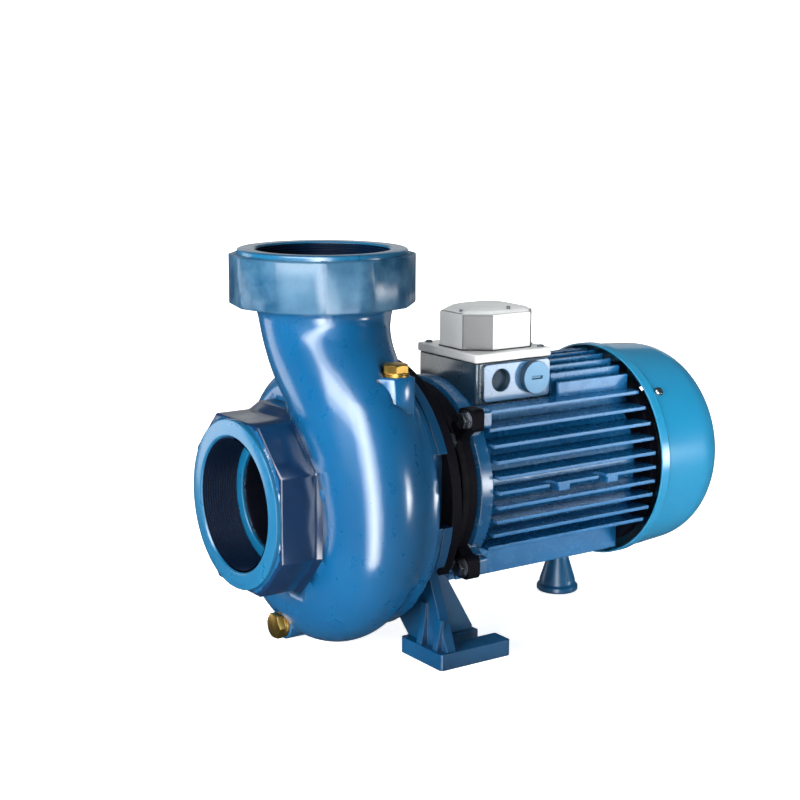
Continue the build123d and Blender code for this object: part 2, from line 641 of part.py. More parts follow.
with BuildPart() as cowl:
    with BuildSketch(Plane.XZ):
        with BuildLine():
            a = Line((COWL_X0, AXIS_Z + COWL_LIP_R - COWL_T), (COWL_X0, AXIS_Z + COWL_LIP_R))
            b = Line(a @ 1, (COWL_X0 + 9.0, AXIS_Z + COWL_LIP_R))
            c = Line(b @ 1, (COWL_X0 + 11.0, AXIS_Z + COWL_R))
            d = Line(c @ 1, (COWL_X1 - 34.0, AXIS_Z + 96.0))
            e = ThreePointArc(d @ 1, (COWL_X1 - 9.5, AXIS_Z + 84.0), (COWL_X1, AXIS_Z + 60.0))
            g = Line(e @ 1, (COWL_X1, AXIS_Z + 12.0))
            h = Line(g @ 1, (COWL_X1 - COWL_T, AXIS_Z + 12.0))
            i = Line(h @ 1, (COWL_X1 - COWL_T, AXIS_Z + 60.0))
            j = ThreePointArc(i @ 1, (COWL_X1 - 9.5 - COWL_T * 0.7, AXIS_Z + 84.0 - COWL_T * 0.7), (COWL_X1 - 34.0, AXIS_Z + 96.0 - COWL_T))
            k = Line(j @ 1, (COWL_X0 + 11.0, AXIS_Z + COWL_R - COWL_T))
            m = Line(k @ 1, (COWL_X0 + 9.0, AXIS_Z + COWL_LIP_R - COWL_T))
            Line(m @ 1, a @ 0)
        make_face()
    revolve(axis=Axis((0, 0, AXIS_Z), (1, 0, 0)))
    # spokes between the ring slots of the inlet grille stay; slots are cut
    with BuildSketch(yz(COWL_X1 - 6.0)):
        for r0 in (18.0, 26.0, 34.0, 42.0, 50.0):
            Circle(r0 + 5.0)
            Circle(r0, mode=Mode.SUBTRACT)
        for ang in (0.0, 45.0, 90.0, 135.0):
            with Locations(Location((0, 0), ang)):
                Rectangle(180.0, 5.0, mode=Mode.SUBTRACT)
    extrude(amount=12.0, mode=Mode.SUBTRACT)
    # screw holes near the rim
    for y, z in COWL_SCREWS:
        with BuildSketch(Plane(origin=(COWL_SCREW_X, 0, AXIS_Z), x_dir=(1, 0, 0), z_dir=(0, y, z))):
            Circle(2.7)
        extrude(amount=120.0, mode=Mode.SUBTRACT)
save(cowl, "fan_cover")

with BuildPart() as cscrews:
    for y, z in COWL_SCREWS:
        ln = math.hypot(y, z)
        with BuildSketch(Plane(origin=(COWL_SCREW_X, y / ln * 96.0, AXIS_Z + z / ln * 96.0), x_dir=(1, 0, 0), z_dir=(0, y, z))):
            Circle(2.6)
        extrude(amount=5.0)
        with BuildSketch(Plane(origin=(COWL_SCREW_X, y / ln * 99.8, AXIS_Z + z / ln * 99.8), x_dir=(1, 0, 0), z_dir=(0, y, z))):
            Circle(4.2)
        extrude(amount=2.6)
save(cscrews, "fan_cover_screws")

# ---------------------------------------------------------------- terminal box
with BuildPart() as tbase:
    with BuildSketch(Plane.XY.offset(BOX_Z0)):
        with Locations(((BOX_X0 + BOX_X1) / 2, 0)):
            RectangleRounded(BOX_X1 - BOX_X0, 2 * BOX_Y, 4.0)
    extrude(amount=BOX_Z1 - BOX_Z0)
    with BuildSketch(yz(BOX_X0 - 1.0)):
        Circle(BARREL_R + 0.05)
    extrude(amount=BOX_X1 - BOX_X0 + 2.0, mode=Mode.SUBTRACT)
    # raised panel and cable entries on the near side
    with BuildSketch(Plane(origin=(0, -BOX_Y, 0), x_dir=(1, 0, 0), z_dir=(0, -1, 0))):
        with Locations((X_FACE + 260.5, AXIS_Z + 85.6)):
            RectangleRounded(74.0, 33.0, 4.0)
    extrude(amount=PANEL_T)
    with BuildSketch(Plane(origin=(0, -BOX_Y - PANEL_T, 0), x_dir=(1, 0, 0), z_dir=(0, -1, 0))):
        with Locations((X_FACE + ENTRY_X1, AXIS_Z + ENTRY_Z)):
            Circle(10.0)
    extrude(amount=-9.5, mode=Mode.SUBTRACT)
    with BuildSketch(Plane(origin=(0, -BOX_Y - PANEL_T, 0), x_dir=(1, 0, 0), z_dir=(0, -1, 0))):
        with Locations((X_FACE + ENTRY_X2, AXIS_Z + ENTRY_Z)):
            Circle(12.6)
    extrude(amount=-11.5, mode=Mode.SUBTRACT)
save(tbase, "terminal_box_base")

with BuildPart() as bigplug:
    with BuildSketch(Plane(origin=(0, -BOX_Y + 8.0, 0), x_dir=(1, 0, 0), z_dir=(0, -1, 0))):
        with Locations((X_FACE + ENTRY_X2, AXIS_Z + ENTRY_Z)):
            Circle(12.4)
    extrude(amount=8.0 + PANEL_T)
    with BuildSketch(Plane(origin=(0, -BOX_Y - PANEL_T, 0), x_dir=(1, 0, 0), z_dir=(0, -1, 0))):
        with Locations((X_FACE + ENTRY_X2, AXIS_Z + ENTRY_Z)):
            Circle(14.6)
    extrude(amount=7.0)
    with BuildSketch(Plane(origin=(0, -BOX_Y - PANEL_T - 7.0, 0), x_dir=(1, 0, 0), z_dir=(0, -1, 0))):
        with Locations((X_FACE + ENTRY_X2, AXIS_Z + ENTRY_Z)):
            Rectangle(12.0, 2.4)
    extrude(amount=-1.8, mode=Mode.SUBTRACT)
save(bigplug, "cable_entry_plug")

with BuildPart() as smallplug:
    with BuildSketch(Plane(origin=(0, -BOX_Y + 7.0, 0), x_dir=(1, 0, 0), z_dir=(0, -1, 0))):
        with Locations((X_FACE + ENTRY_X1, AXIS_Z + ENTRY_Z)):
            Circle(9.9)
    extrude(amount=3.0)
save(smallplug, "cable_entry_knockout")

LID_Z0 = BOX_Z1 + 1.0
with BuildPart() as gask:
    with BuildSketch(Plane.XY.offset(BOX_Z1)):
        with Locations(((BOX_X0 + BOX_X1) / 2, 0)):
            RectangleRounded(BOX_X1 - BOX_X0 - 1.0, 2 * BOX_Y - 1.0, 4.0)
            RectangleRounded(BOX_X1 - BOX_X0 - 12.0, 2 * BOX_Y - 12.0, 3.0, mode=Mode.SUBTRACT)
    extrude(amount=1.0)
save(gask, "terminal_box_gasket")

with BuildPart() as lid:
    with BuildSketch(Plane.XY.offset(LID_Z0)):
        with Locations(((BOX_X0 + BOX_X1) / 2, 0)):
            RectangleRounded(BOX_X1 - BOX_X0 + 3.0, 2 * BOX_Y + 3.0, 4.0)
    extrude(amount=LID_T)
save(lid, "terminal_lid_flange")

DOME_Z0 = LID_Z0 + LID_T
with BuildPart() as dome:
    with BuildSketch(Plane.XY.offset(DOME_Z0)):
        with Locations((X_FACE, 0)):
            Polygon(*dome_pts(0.0), align=None)
    extrude(amount=DOME_H)
    # crowned top
    with BuildSketch(Plane.XY.offset(DOME_Z0 + DOME_H)):
        with Locations((X_FACE, 0)):
            Polygon(*dome_pts(1.2), align=None)
    with BuildSketch(Plane.XY.offset(DOME_Z0 + DOME_H + 2.4)):
        with Locations((X_FACE, 0)):
            Polygon(*dome_pts(5.0), align=None)
    with BuildSketch(Plane.XY.offset(DOME_Z0 + DOME_H + 4.4)):
        with Locations((X_FACE, 0)):
            Polygon(*dome_pts(13.0), align=None)
    with BuildSketch(Plane.XY.offset(DOME_Z0 + DOME_H + CROWN_H)):
        with Locations((X_FACE, 0)):
            Polygon(*dome_pts(24.0), align=None)
    loft(ruled=True)
save(dome, "terminal_lid_dome")

with BuildPart() as lscrews:
    for x, y in LID_SCREWS:
        with BuildSketch(Plane.XY.offset(DOME_Z0)):
            with Locations((X_FACE + x, y)):
                Circle(3.2)
        extrude(amount=1.9)
save(lscrews, "terminal_lid_screws")

# ---------------------------------------------------------------- rear support
with BuildPart() as cone:
    with BuildSketch(Plane.XZ):
        with BuildLine():
            Polyline(
                (CONE_X, 0.0), (CONE_X + CONE_R - 1.0, 0.0), (CONE_X + CONE_R, 1.5), (CONE_X + CONE_R, 5.0), (CONE_X + CONE_R - 2.4, 7.5),
                (CONE_X + CONE_R - 2.8, 11.0), (CONE_X + 10.4, 32.0), (CONE_X + 9.4, AXIS_Z - FIN_R + 2.0), (CONE_X, AXIS_Z - FIN_R + 2.0), (CONE_X, 0.0),
            )
        make_face()
    revolve(axis=Axis((CONE_X, 0, 0), (0, 0, 1)))
    with BuildSketch(yz(CONE_X - 30.0)):
        Circle(FIN_R + 0.05)
    extrude(amount=60.0, mode=Mode.SUBTRACT)
save(cone, "rear_foot")
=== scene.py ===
import json
import math

import bmesh
import bpy
import numpy as np
from mathutils import Matrix, Vector

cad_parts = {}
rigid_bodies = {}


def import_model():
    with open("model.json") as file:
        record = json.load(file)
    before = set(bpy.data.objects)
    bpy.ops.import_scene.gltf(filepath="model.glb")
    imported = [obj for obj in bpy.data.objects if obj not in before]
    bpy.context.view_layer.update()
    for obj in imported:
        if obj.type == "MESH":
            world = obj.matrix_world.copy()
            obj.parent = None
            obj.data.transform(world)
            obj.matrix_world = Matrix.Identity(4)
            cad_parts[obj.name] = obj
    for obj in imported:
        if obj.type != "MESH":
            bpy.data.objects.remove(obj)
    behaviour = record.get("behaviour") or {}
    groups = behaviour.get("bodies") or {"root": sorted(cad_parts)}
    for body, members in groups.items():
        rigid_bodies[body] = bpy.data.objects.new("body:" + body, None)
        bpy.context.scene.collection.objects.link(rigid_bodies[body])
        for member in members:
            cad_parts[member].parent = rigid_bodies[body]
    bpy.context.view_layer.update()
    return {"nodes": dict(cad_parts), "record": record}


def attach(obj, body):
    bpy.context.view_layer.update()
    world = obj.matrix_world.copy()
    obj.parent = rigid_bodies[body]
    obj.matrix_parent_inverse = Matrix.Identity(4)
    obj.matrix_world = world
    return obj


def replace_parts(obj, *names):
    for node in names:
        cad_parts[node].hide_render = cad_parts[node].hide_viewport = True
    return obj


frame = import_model()
N = frame["nodes"]

# ---------------------------------------------------------------- shared sizes, metres
AX = 0.134          # height of the shaft axis
XF = -0.160         # face of the suction port


# ================================================================ helpers
def link(obj):
    if obj.name not in bpy.context.scene.collection.objects:
        bpy.context.scene.collection.objects.link(obj)
    return obj


def mesh_obj(name, verts, faces, smooth=None):
    me = bpy.data.meshes.new(name)
    me.from_pydata([tuple(v) for v in verts], [], faces)
    me.validate()
    me.update()
    ob = link(bpy.data.objects.new(name, me))
    if smooth is not None:
        soften(ob, smooth)
    return ob


def soften(ob, deg=35.0):
    for p in ob.data.polygons:
        p.use_smooth = True
    me = ob.data
    bm = bmesh.new()
    bm.from_mesh(me)
    lim = math.radians(deg)
    for e in bm.edges:
        e.smooth = not (len(e.link_faces) != 2 or e.calc_face_angle(0.0) > lim)
    bm.to_mesh(me)
    bm.free()
    return ob


def bevel(ob, width, segs=2, deg=35.0):
    m = ob.modifiers.new("bevel", "BEVEL")
    m.width = width
    m.segments = segs
    m.limit_method = "ANGLE"
    m.angle_limit = math.radians(deg)
    m.harden_normals = True
    return ob


def bake(ob):
    """Applies the modifiers so the mesh is final."""
    dg = bpy.context.evaluated_depsgraph_get()
    me = bpy.data.meshes.new_from_object(ob.evaluated_get(dg))
    ob.modifiers.clear()
    ob.data = me
    return ob


def join(name, obs):
    """One object from several, all with identity placement or their own matrices."""
    bm = bmesh.new()
    for o in obs:
        me = o.data.copy()
        me.transform(o.matrix_world if o.parent is None else o.matrix_basis)
        bm.from_mesh(me)
        bpy.data.meshes.remove(me)
    me = bpy.data.meshes.new(name)
    bm.to_mesh(me)
    bm.free()
    ob = link(bpy.data.objects.new(name, me))
    for o in obs:
        bpy.data.objects.remove(o)
    return ob


def basis(origin, z, x=None):
    """Matrix with its z axis along z."""
    z = Vector(z).normalized()
    if x is None:
        x = Vector((0, 0, 1)) if abs(z.z) < 0.9 else Vector((1, 0, 0))
    x = Vector(x)
    y = z.cross(x).normalized()
    x = y.cross(z).normalized()
    m = Matrix((x, y, z)).transposed().to_4x4()
    m.translation = Vector(origin)
    return m


def lathe(name, prof, origin, axis, n=64, smooth=40.0, closed=True, x=None):
    """Turned body: prof is a list of (radius, height along the axis). A radius of 0 closes to a point."""
    verts, faces, rings = [], [], []
    for r, h in prof:
        if r <= 1e-7:
            rings.append([len(verts)])
            verts.append(Vector((0, 0, h)))
        else:
            rings.append(list(range(len(verts), len(verts) + n)))
            for i in range(n):
                a = 2 * math.pi * i / n
                verts.append(Vector((r * math.cos(a), r * math.sin(a), h)))
    k = len(rings)
    for j in range(k if closed else k - 1):
        a, b = rings[j], rings[(j + 1) % k]
        if len(a) == 1 and len(b) == 1:
            continue
        for i in range(n):
            i2 = (i + 1) % n
            if len(a) == 1:
                faces.append((a[0], b[i2], b[i]))
            elif len(b) == 1:
                faces.append((a[i], a[i2], b[0]))
            else:
                faces.append((a[i], a[i2], b[i2], b[i]))
    m = basis(origin, axis, x)
    verts = [m @ v for v in verts]
    ob = mesh_obj(name, verts, faces)
    bm = bmesh.new()
    bm.from_mesh(ob.data)
    bmesh.ops.recalc_face_normals(bm, faces=bm.faces)
    bm.to_mesh(ob.data)
    bm.free()
    soften(ob, smooth)
    return ob


def prism(name, outline, origin, axis, depth, x=None, bev=0.0, segs=2, smooth=35.0):
    """Straight extrusion of an outline [(u, v)] from origin along axis."""
    m = basis(origin, axis, x)
    n = len(outline)
    verts = [m @ Vector((u, v, 0)) for u, v in outline] + [m @ Vector((u, v, depth)) for u, v in outline]
    faces = [tuple(reversed(range(n))), tuple(range(n, 2 * n))]
    faces += [(i, (i + 1) % n, n + (i + 1) % n, n + i) for i in range(n)]
    ob = mesh_obj(name, verts, faces)
    bm = bmesh.new()
    bm.from_mesh(ob.data)
    bmesh.ops.recalc_face_normals(bm, faces=bm.faces)
    bm.to_mesh(ob.data)
    bm.free()
    if bev:
        bevel(ob, bev, segs)
        bake(ob)
    soften(ob, smooth)
    return ob


def hexagon(af, rot=0.0):
    r = af / math.sqrt(3)
    return [(r * math.cos(math.radians(60 * i + rot)), r * math.sin(math.radians(60 * i + rot))) for i in range(6)]


def hexhead(name, origin, axis, af, h, x=None, rot=0.0, chamfer=0.12):
    """Hexagon head with its turned crown chamfer."""
    m = basis(origin, axis, x)
    n = 6
    r = af / math.sqrt(3)
    sub = 4
    verts, top, low = [], [], []
    ring_lo, ring_mid, ring_hi = [], [], []
    for i in range(n):
        a0 = math.radians(60 * i + rot)
        a1 = math.radians(60 * (i + 1) + rot)
        for k in range(sub):
            t = k / sub
            p = Vector((r * math.cos(a0), r * math.sin(a0), 0)).lerp(Vector((r * math.cos(a1), r * math.sin(a1), 0)), t)
            d = p.length
            drop = max(0.0, (d - af / 2)) * 0.58
            ring_lo.append(m @ p)
            ring_mid.append(m @ Vector((p.x, p.y, h - drop - h * 0.02)))
            q = p.normalized() * (af / 2 * 0.94)
            ring_hi.append(m @ Vector((q.x, q.y, h)))
    cnt = n * sub
    verts = ring_lo + ring_mid + ring_hi
    faces = [tuple(reversed(range(cnt))), tuple(range(2 * cnt, 3 * cnt))]
    for j in (0, 1):
        for i in range(cnt):
            a, b = j * cnt + i, j * cnt + (i + 1) % cnt
            faces.append((a, b, b + cnt, a + cnt))
    ob = mesh_obj(name, verts, faces)
    bm = bmesh.new()
    bm.from_mesh(ob.data)
    bmesh.ops.recalc_face_normals(bm, faces=bm.faces)
    bm.to_mesh(ob.data)
    bm.free()
    soften(ob, 25.0)
    return ob


# ================================================================ materials
class NT:
    """Small helper that builds a node tree."""

    def __init__(self, name):
        self.mat = bpy.data.materials.new(name)
        self.mat.use_nodes = True
        self.t = self.mat.node_tree
        self.n = self.t.nodes
        self.n.clear()
        self.out = self.n.new("ShaderNodeOutputMaterial")
        self.p = self.n.new("ShaderNodeBsdfPrincipled")
        self.t.links.new(self.p.outputs[0], self.out.inputs[0])
        self.tc = self.n.new("ShaderNodeTexCoord")

    def link(self, a, b):
        self.t.links.new(a, b)

    def noise(self, scale, detail=4.0, rough=0.5, stretch=None, dist=0.0):
        t = self.n.new("ShaderNodeTexNoise")
        t.inputs["Scale"].default_value = scale
        t.inputs["Detail"].default_value = detail
        t.inputs["Roughness"].default_value = rough
        t.inputs["Distortion"].default_value = dist
        if stretch:
            mp = self.n.new("ShaderNodeMapping")
            mp.inputs["Scale"].default_value = stretch
            self.link(self.tc.outputs["Object"], mp.inputs[0])
            self.link(mp.outputs[0], t.inputs["Vector"])
        else:
            self.link(self.tc.outputs["Object"], t.inputs["Vector"])
        return t.outputs["Fac"]

    def voronoi(self, scale, feature="F1"):
        t = self.n.new("ShaderNodeTexVoronoi")
        t.feature = feature
        t.inputs["Scale"].default_value = scale
        self.link(self.tc.outputs["Object"], t.inputs["Vector"])
        return t.outputs["Distance"]

    def ramp(self, fac, stops):
        r = self.n.new("ShaderNodeValToRGB")
        el = r.color_ramp.elements
        while len(el) < len(stops):
            el.new(0.5)
        for e, (pos, col) in zip(el, stops):
            e.position = pos
            e.color = (*col, 1.0) if len(col) == 3 else col
        self.link(fac, r.inputs[0])
        return r.outputs[0]

    def rng(self, fac, a0, a1, b0, b1):
        r = self.n.new("ShaderNodeMapRange")
        for k, v in zip(("From Min", "From Max", "To Min", "To Max"), (a0, a1, b0, b1)):
            r.inputs[k].default_value = v
        self.link(fac, r.inputs["Value"])
        return r.outputs[0]

    def mix(self, fac, a, b, mode="MIX"):
        m = self.n.new("ShaderNodeMix")
        m.data_type = "RGBA"
        m.blend_type = mode
        for sock, v in ((m.inputs[0], fac), (m.inputs[6], a), (m.inputs[7], b)):
            if isinstance(v, (int, float)):
                sock.default_value = v
            elif isinstance(v, tuple):
                sock.default_value = (*v, 1.0)
            else:
                self.link(v, sock)
        return m.outputs[2]

    def math(self, op, a, b=0.0):
        m = self.n.new("ShaderNodeMath")
        m.operation = op
        for sock, v in ((m.inputs[0], a), (m.inputs[1], b)):
            if isinstance(v, (int, float)):
                sock.default_value = v
            else:
                self.link(v, sock)
        return m.outputs[0]

    def bump(self, height, strength, dist, normal=None):
        b = self.n.new("ShaderNodeBump")
        b.inputs["Strength"].default_value = strength
        b.inputs["Distance"].default_value = dist
        self.link(height, b.inputs["Height"])
        if normal is not None:
            self.link(normal, b.inputs["Normal"])
        return b.outputs[0]

    def round(self, radius, samples=4):
        b = self.n.new("ShaderNodeBevel")
        b.samples = samples
        b.inputs["Radius"].default_value = radius
        return b.outputs[0]

    def occlusion_shade(self, dist):
        # ambient occlusion, used to paint shade into recesses
        a = self.n.new("ShaderNodeAmbientOcclusion")
        a.samples = 4
        a.inputs["Distance"].default_value = dist
        return a.outputs["AO"]

    def edge(self, radius):
        """0 on flat ground, up to 1 on a sharp convex or concave edge."""
        bev = self.n.new("ShaderNodeBevel")
        bev.samples = 4
        bev.inputs["Radius"].default_value = radius
        geo = self.n.new("ShaderNodeNewGeometry")
        dot = self.n.new("ShaderNodeVectorMath")
        dot.operation = "DOT_PRODUCT"
        self.link(bev.outputs[0], dot.inputs[0])
        self.link(geo.outputs["Normal"], dot.inputs[1])
        return self.rng(dot.outputs["Value"], 1.0, 0.90, 0.0, 1.0)


def enamel(name, base, dark, light, cast=0.35, coat=1.0, rough=0.30, edge_r=0.0012, wear_highlight=0.05, spec=0.5, soft=0.15, tint=(1.0, 1.0, 1.0), mottle=0.22):
    """Gloss enamel over a casting: colour drift, orange peel, casting relief, painted shade in recesses, and edges
    lightened partly as paint wear and partly as a painted highlight.
    """
    m = NT(name)
    big = m.noise(9.0, 3.0, 0.5)
    mid = m.noise(55.0, 4.0, 0.55)
    fine = m.noise(420.0, 3.0, 0.6)
    col = m.ramp(big, [(0.30, dark), (0.52, base), (0.75, light)])
    col = m.mix(m.rng(mid, 0.35, 0.7, 0.0, mottle), col, light)
    # painted shade: the colour darkens in recesses and between parts
    ao = m.occlusion_shade(0.012)
    col = m.mix(m.rng(ao, 0.25, 0.85, 0.45, 0.0), col, tuple(c * 0.35 for c in dark))
    # edges lightened: partly paint wear, partly a painted highlight along the edges
    e = m.edge(edge_r)
    brk = m.rng(m.noise(160.0, 5.0, 0.7), 0.52, 0.66, 0.0, 1.0)
    wear_and_highlight = m.math("MULTIPLY", m.math("MULTIPLY", e, brk), wear_highlight)
    col = m.mix(wear_and_highlight, col, tuple(min(1.0, c * 1.5 + 0.10) for c in light))
    m.link(col, m.p.inputs["Base Color"])
    r = m.math("ADD", m.rng(m.noise(70.0, 4.0, 0.6), 0.3, 0.7, rough - 0.05, rough + 0.09), m.math("MULTIPLY", wear_and_highlight, 0.25))
    m.link(r, m.p.inputs["Roughness"])
    m.p.inputs["Coat Weight"].default_value = coat
    m.p.inputs["Coat Roughness"].default_value = soft
    m.p.inputs["Specular Tint"].default_value = (*tint, 1.0)
    m.p.inputs["Coat IOR"].default_value = 1.85
    m.p.inputs["Specular IOR Level"].default_value = spec
    n0 = m.round(edge_r)
    n1 = m.bump(m.noise(38.0, 3.0, 0.5), 0.30 * cast, 0.0012, n0)
    n2 = m.bump(m.noise(210.0, 4.0, 0.6), 0.35 * cast, 0.00035, n1)
    n3 = m.bump(fine, 0.10, 0.00012, n2)
    m.link(n3, m.p.inputs["Normal"])
    c1 = m.bump(m.noise(38.0, 3.0, 0.5), 0.22 * cast, 0.0012, n0)
    m.link(m.bump(m.noise(190.0, 2.0, 0.5), 0.05, 0.0003, c1), m.p.inputs["Coat Normal"])
    return m.mat


def metal(name, base, dark, rough=0.3, turned=False, pit=0.2, edge_r=0.0006, scratch=900.0, stretch=(1, 1, 1)):
    m = NT(name)
    n = m.noise(60.0, 4.0, 0.6)
    col = m.ramp(n, [(0.30, dark), (0.62, base)])
    st = m.noise(scratch, 2.0, 0.6, stretch=stretch)
    col = m.mix(m.rng(st, 0.35, 0.7, 0.0, 0.25), col, dark)
    # painted shade: the colour darkens in recesses by ambient occlusion
    ao = m.occlusion_shade(0.004)
    col = m.mix(m.rng(ao, 0.2, 0.9, 0.6, 0.0), col, tuple(c * 0.25 for c in dark))
    m.link(col, m.p.inputs["Base Color"])
    m.p.inputs["Metallic"].default_value = 1.0
    m.link(m.rng(m.noise(240.0, 4.0, 0.6), 0.3, 0.75, rough - 0.08, rough + 0.12), m.p.inputs["Roughness"])
    n0 = m.round(edge_r)
    n1 = m.bump(st, 0.12, 0.0001, n0)
    n2 = m.bump(m.noise(500.0, 4.0, 0.7), pit, 0.0001, n1)
    m.link(n2, m.p.inputs["Normal"])
    return m.mat


def plastic(name, base, dark, rough=0.35, grain=600.0, depth=0.06, coat=0.0, edge_r=0.0006, spec=0.5):
    m = NT(name)
    n = m.noise(14.0, 3.0, 0.5)
    col = m.ramp(n, [(0.32, dark), (0.68, base)])
    # painted shade: the colour darkens in recesses by ambient occlusion
    ao = m.occlusion_shade(0.005)
    col = m.mix(m.rng(ao, 0.2, 0.9, 0.5, 0.0), col, tuple(c * 0.4 for c in dark))
    m.link(col, m.p.inputs["Base Color"])
    m.link(m.rng(m.noise(90.0, 4.0, 0.6), 0.3, 0.7, rough - 0.06, rough + 0.08), m.p.inputs["Roughness"])
    m.p.inputs["Coat Weight"].default_value = coat
    m.p.inputs["Specular IOR Level"].default_value = spec
    n0 = m.round(edge_r)
    m.link(m.bump(m.noise(grain, 3.0, 0.6), depth * 3, 0.00012, n0), m.p.inputs["Normal"])
    return m.mat


M = {}
M["casing_paint"] = enamel("casing_paint", (0.0004, 0.072, 0.186), (0.0003, 0.063, 0.168), (0.0007, 0.082, 0.210), cast=0.03)
# painted light: a lighter copy of the blue enamel for the port rings, standing in for the light on their faces
M["ring_lit_paint"] = enamel("ring_lit_paint", (0.005, 0.108, 0.225), (0.004, 0.096, 0.205), (0.008, 0.120, 0.248), cast=0.05)
# painted shade: a much darker copy of the blue enamel for the socket faces, standing in for their shade
M["socket_shade_paint"] = enamel("socket_shade_paint", (0.0015, 0.018, 0.062), (0.001, 0.014, 0.050), (0.002, 0.024, 0.074), cast=0.20, rough=0.32, coat=0.8)
# painted shade and reflection: a darker copy of the blue enamel for the discharge boss, with a strong light mottle
# standing in for broken reflections
M["boss_shade_paint"] = enamel("boss_shade_paint", (0.003, 0.052, 0.115), (0.0015, 0.030, 0.076), (0.050, 0.130, 0.210), cast=0.9, rough=0.40, coat=0.50, soft=0.20, mottle=0.85)
# painted shade: a darker copy of the blue enamel for the feet, standing in for their shade
M["foot_shade_paint"] = enamel("foot_shade_paint", (0.0008, 0.048, 0.124), (0.0006, 0.030, 0.086), (0.002, 0.070, 0.165), cast=0.6, rough=0.34, coat=0.22)
# painted shade: a slightly darker copy of the motor enamel for the front shield, standing in for its shade; its full
# coat takes the lamp highlight
M["shield_shade_paint"] = enamel("shield_shade_paint", (0.004, 0.075, 0.190), (0.003, 0.055, 0.145), (0.008, 0.100, 0.240), cast=0.08, rough=0.24, coat=1.0, soft=0.18)
M["motor_paint"] = enamel("motor_paint", (0.004, 0.085, 0.220), (0.003, 0.060, 0.165), (0.010, 0.120, 0.290), cast=0.12, rough=0.24, coat=0.30, spec=1.0, tint=(0.42, 0.70, 1.0))
# painted light: a lighter copy of the blue enamel for the fan cover, standing in for the light on it
M["cowl_lit_paint"] = enamel("cowl_lit_paint", (0.010, 0.215, 0.400), (0.008, 0.200, 0.380), (0.013, 0.230, 0.425), cast=0.03, rough=0.34)
# painted shade: a dull dark copy of the enamel for the terminal box base, standing in for the shade on its sides
M["box_shade_paint"] = enamel("box_shade_paint", (0.020, 0.050, 0.082), (0.015, 0.042, 0.072), (0.030, 0.066, 0.102), cast=0.25, rough=0.28)
# painted light: a lighter copy of the enamel for the near face of the box base, standing in for the light on it
M["panel_lit_paint"] = enamel("panel_lit_paint", (0.060, 0.170, 0.320), (0.050, 0.150, 0.290), (0.075, 0.190, 0.350), cast=0.20, rough=0.28)
# near-black: partly the dark paint of those parts, partly painted shade for the deep shade in the lantern and in the
# gap behind the fins
M["black_paint"] = enamel("black_paint", (0.0012, 0.0010, 0.0035), (0.0008, 0.0007, 0.0020), (0.0025, 0.0022, 0.0065), cast=0.8, rough=0.60, coat=0.0, wear_highlight=0.0, spec=0.18)
# painted shade: near-black for the inside of the bore and the neck, standing in for the shade inside them
M["bore_shade_dark"] = enamel("bore_shade_dark", (0.0010, 0.0016, 0.0060), (0.0006, 0.0010, 0.0035), (0.0020, 0.0030, 0.0090), cast=0.8, rough=0.60, coat=0.0, wear_highlight=0.0, spec=0.15)
# painted shade: a dark copy of the blue enamel for the threads, standing in for the shade in the bore
M["thread_shade_paint"] = enamel("thread_shade_paint", (0.0010, 0.010, 0.034), (0.0006, 0.006, 0.022), (0.002, 0.016, 0.048), cast=0.1, rough=0.42, coat=0.03, spec=0.20)
M["steel"] = metal("steel", (0.58, 0.58, 0.60), (0.36, 0.36, 0.38), 0.28, scratch=700.0, stretch=(0.05, 1, 1))
M["zinc"] = metal("zinc", (0.30, 0.32, 0.36), (0.16, 0.17, 0.20), 0.34)
M["bright_zinc"] = metal("bright_zinc", (0.75, 0.77, 0.80), (0.50, 0.52, 0.55), 0.25)
M["brass"] = metal("brass", (0.90, 0.56, 0.14), (0.78, 0.46, 0.10), 0.36, pit=0.06)
M["cast_iron"] = metal("cast_iron", (0.012, 0.012, 0.015), (0.004, 0.004, 0.006), 0.66, pit=0.9)
M["rubber"] = plastic("rubber", (0.016, 0.016, 0.018), (0.008, 0.008, 0.009), 0.62, 300.0, 0.2)
M["lid_grey"] = plastic("lid_grey", (0.70, 0.71, 0.70), (0.62, 0.63, 0.62), 0.33, 900.0, 0.05, coat=0.3)
# painted shade: a dark grey copy of the lid plastic for the chamfer facets of the dome
M["lid_painted_shade"] = plastic("lid_painted_shade", (0.110, 0.112, 0.115), (0.100, 0.102, 0.105), 0.38, 900.0, 0.05, coat=0.2)
M["fan_plastic"] = plastic("fan_plastic", (0.022, 0.022, 0.026), (0.012, 0.012, 0.014), 0.45)
# painted shade: dark blue for the cable entries, standing in for the shade inside them
M["entry_shade_dark"] = plastic("entry_shade_dark", (0.012, 0.040, 0.075), (0.008, 0.028, 0.055), 0.40)
M["entry_plastic"] = plastic("entry_plastic", (0.10, 0.27, 0.44), (0.08, 0.22, 0.37), 0.35, coat=0.3)

record = frame["record"]
slot_of = {s["node"]: s["material_slot"] for s in record["subparts"]}


def paint(ob, mat):
    ob.data.materials.clear()
    ob.data.materials.append(mat)
    return ob


# the fan cover, feet, box base and front shield take lighter and darker copies of the enamel that stand in for light
# and shade on those pieces
FINISH = {"fan_cover": "cowl_lit_paint", "front_foot": "foot_shade_paint", "terminal_box_base": "box_shade_paint", "rear_foot": "foot_shade_paint", "motor_front_shield": "shield_shade_paint",
          "fan_cover_screws": "bright_zinc"}
BEVELS = {"front_foot": 0.0014, "terminal_box_base": 0.0012, "terminal_lid_flange": 0.0012, "terminal_lid_dome": 0.0014, "stator_housing": 0.0005,
          "cable_entry_plug": 0.0008, "motor_front_shield": 0.0010, "lantern_bracket": 0.0010, "casing_cover": 0.0010, "rear_foot": 0.0006,
          "fan_cover": 0.0, "priming_plug_washer": 0.0003, "drain_plug_washer": 0.0003}

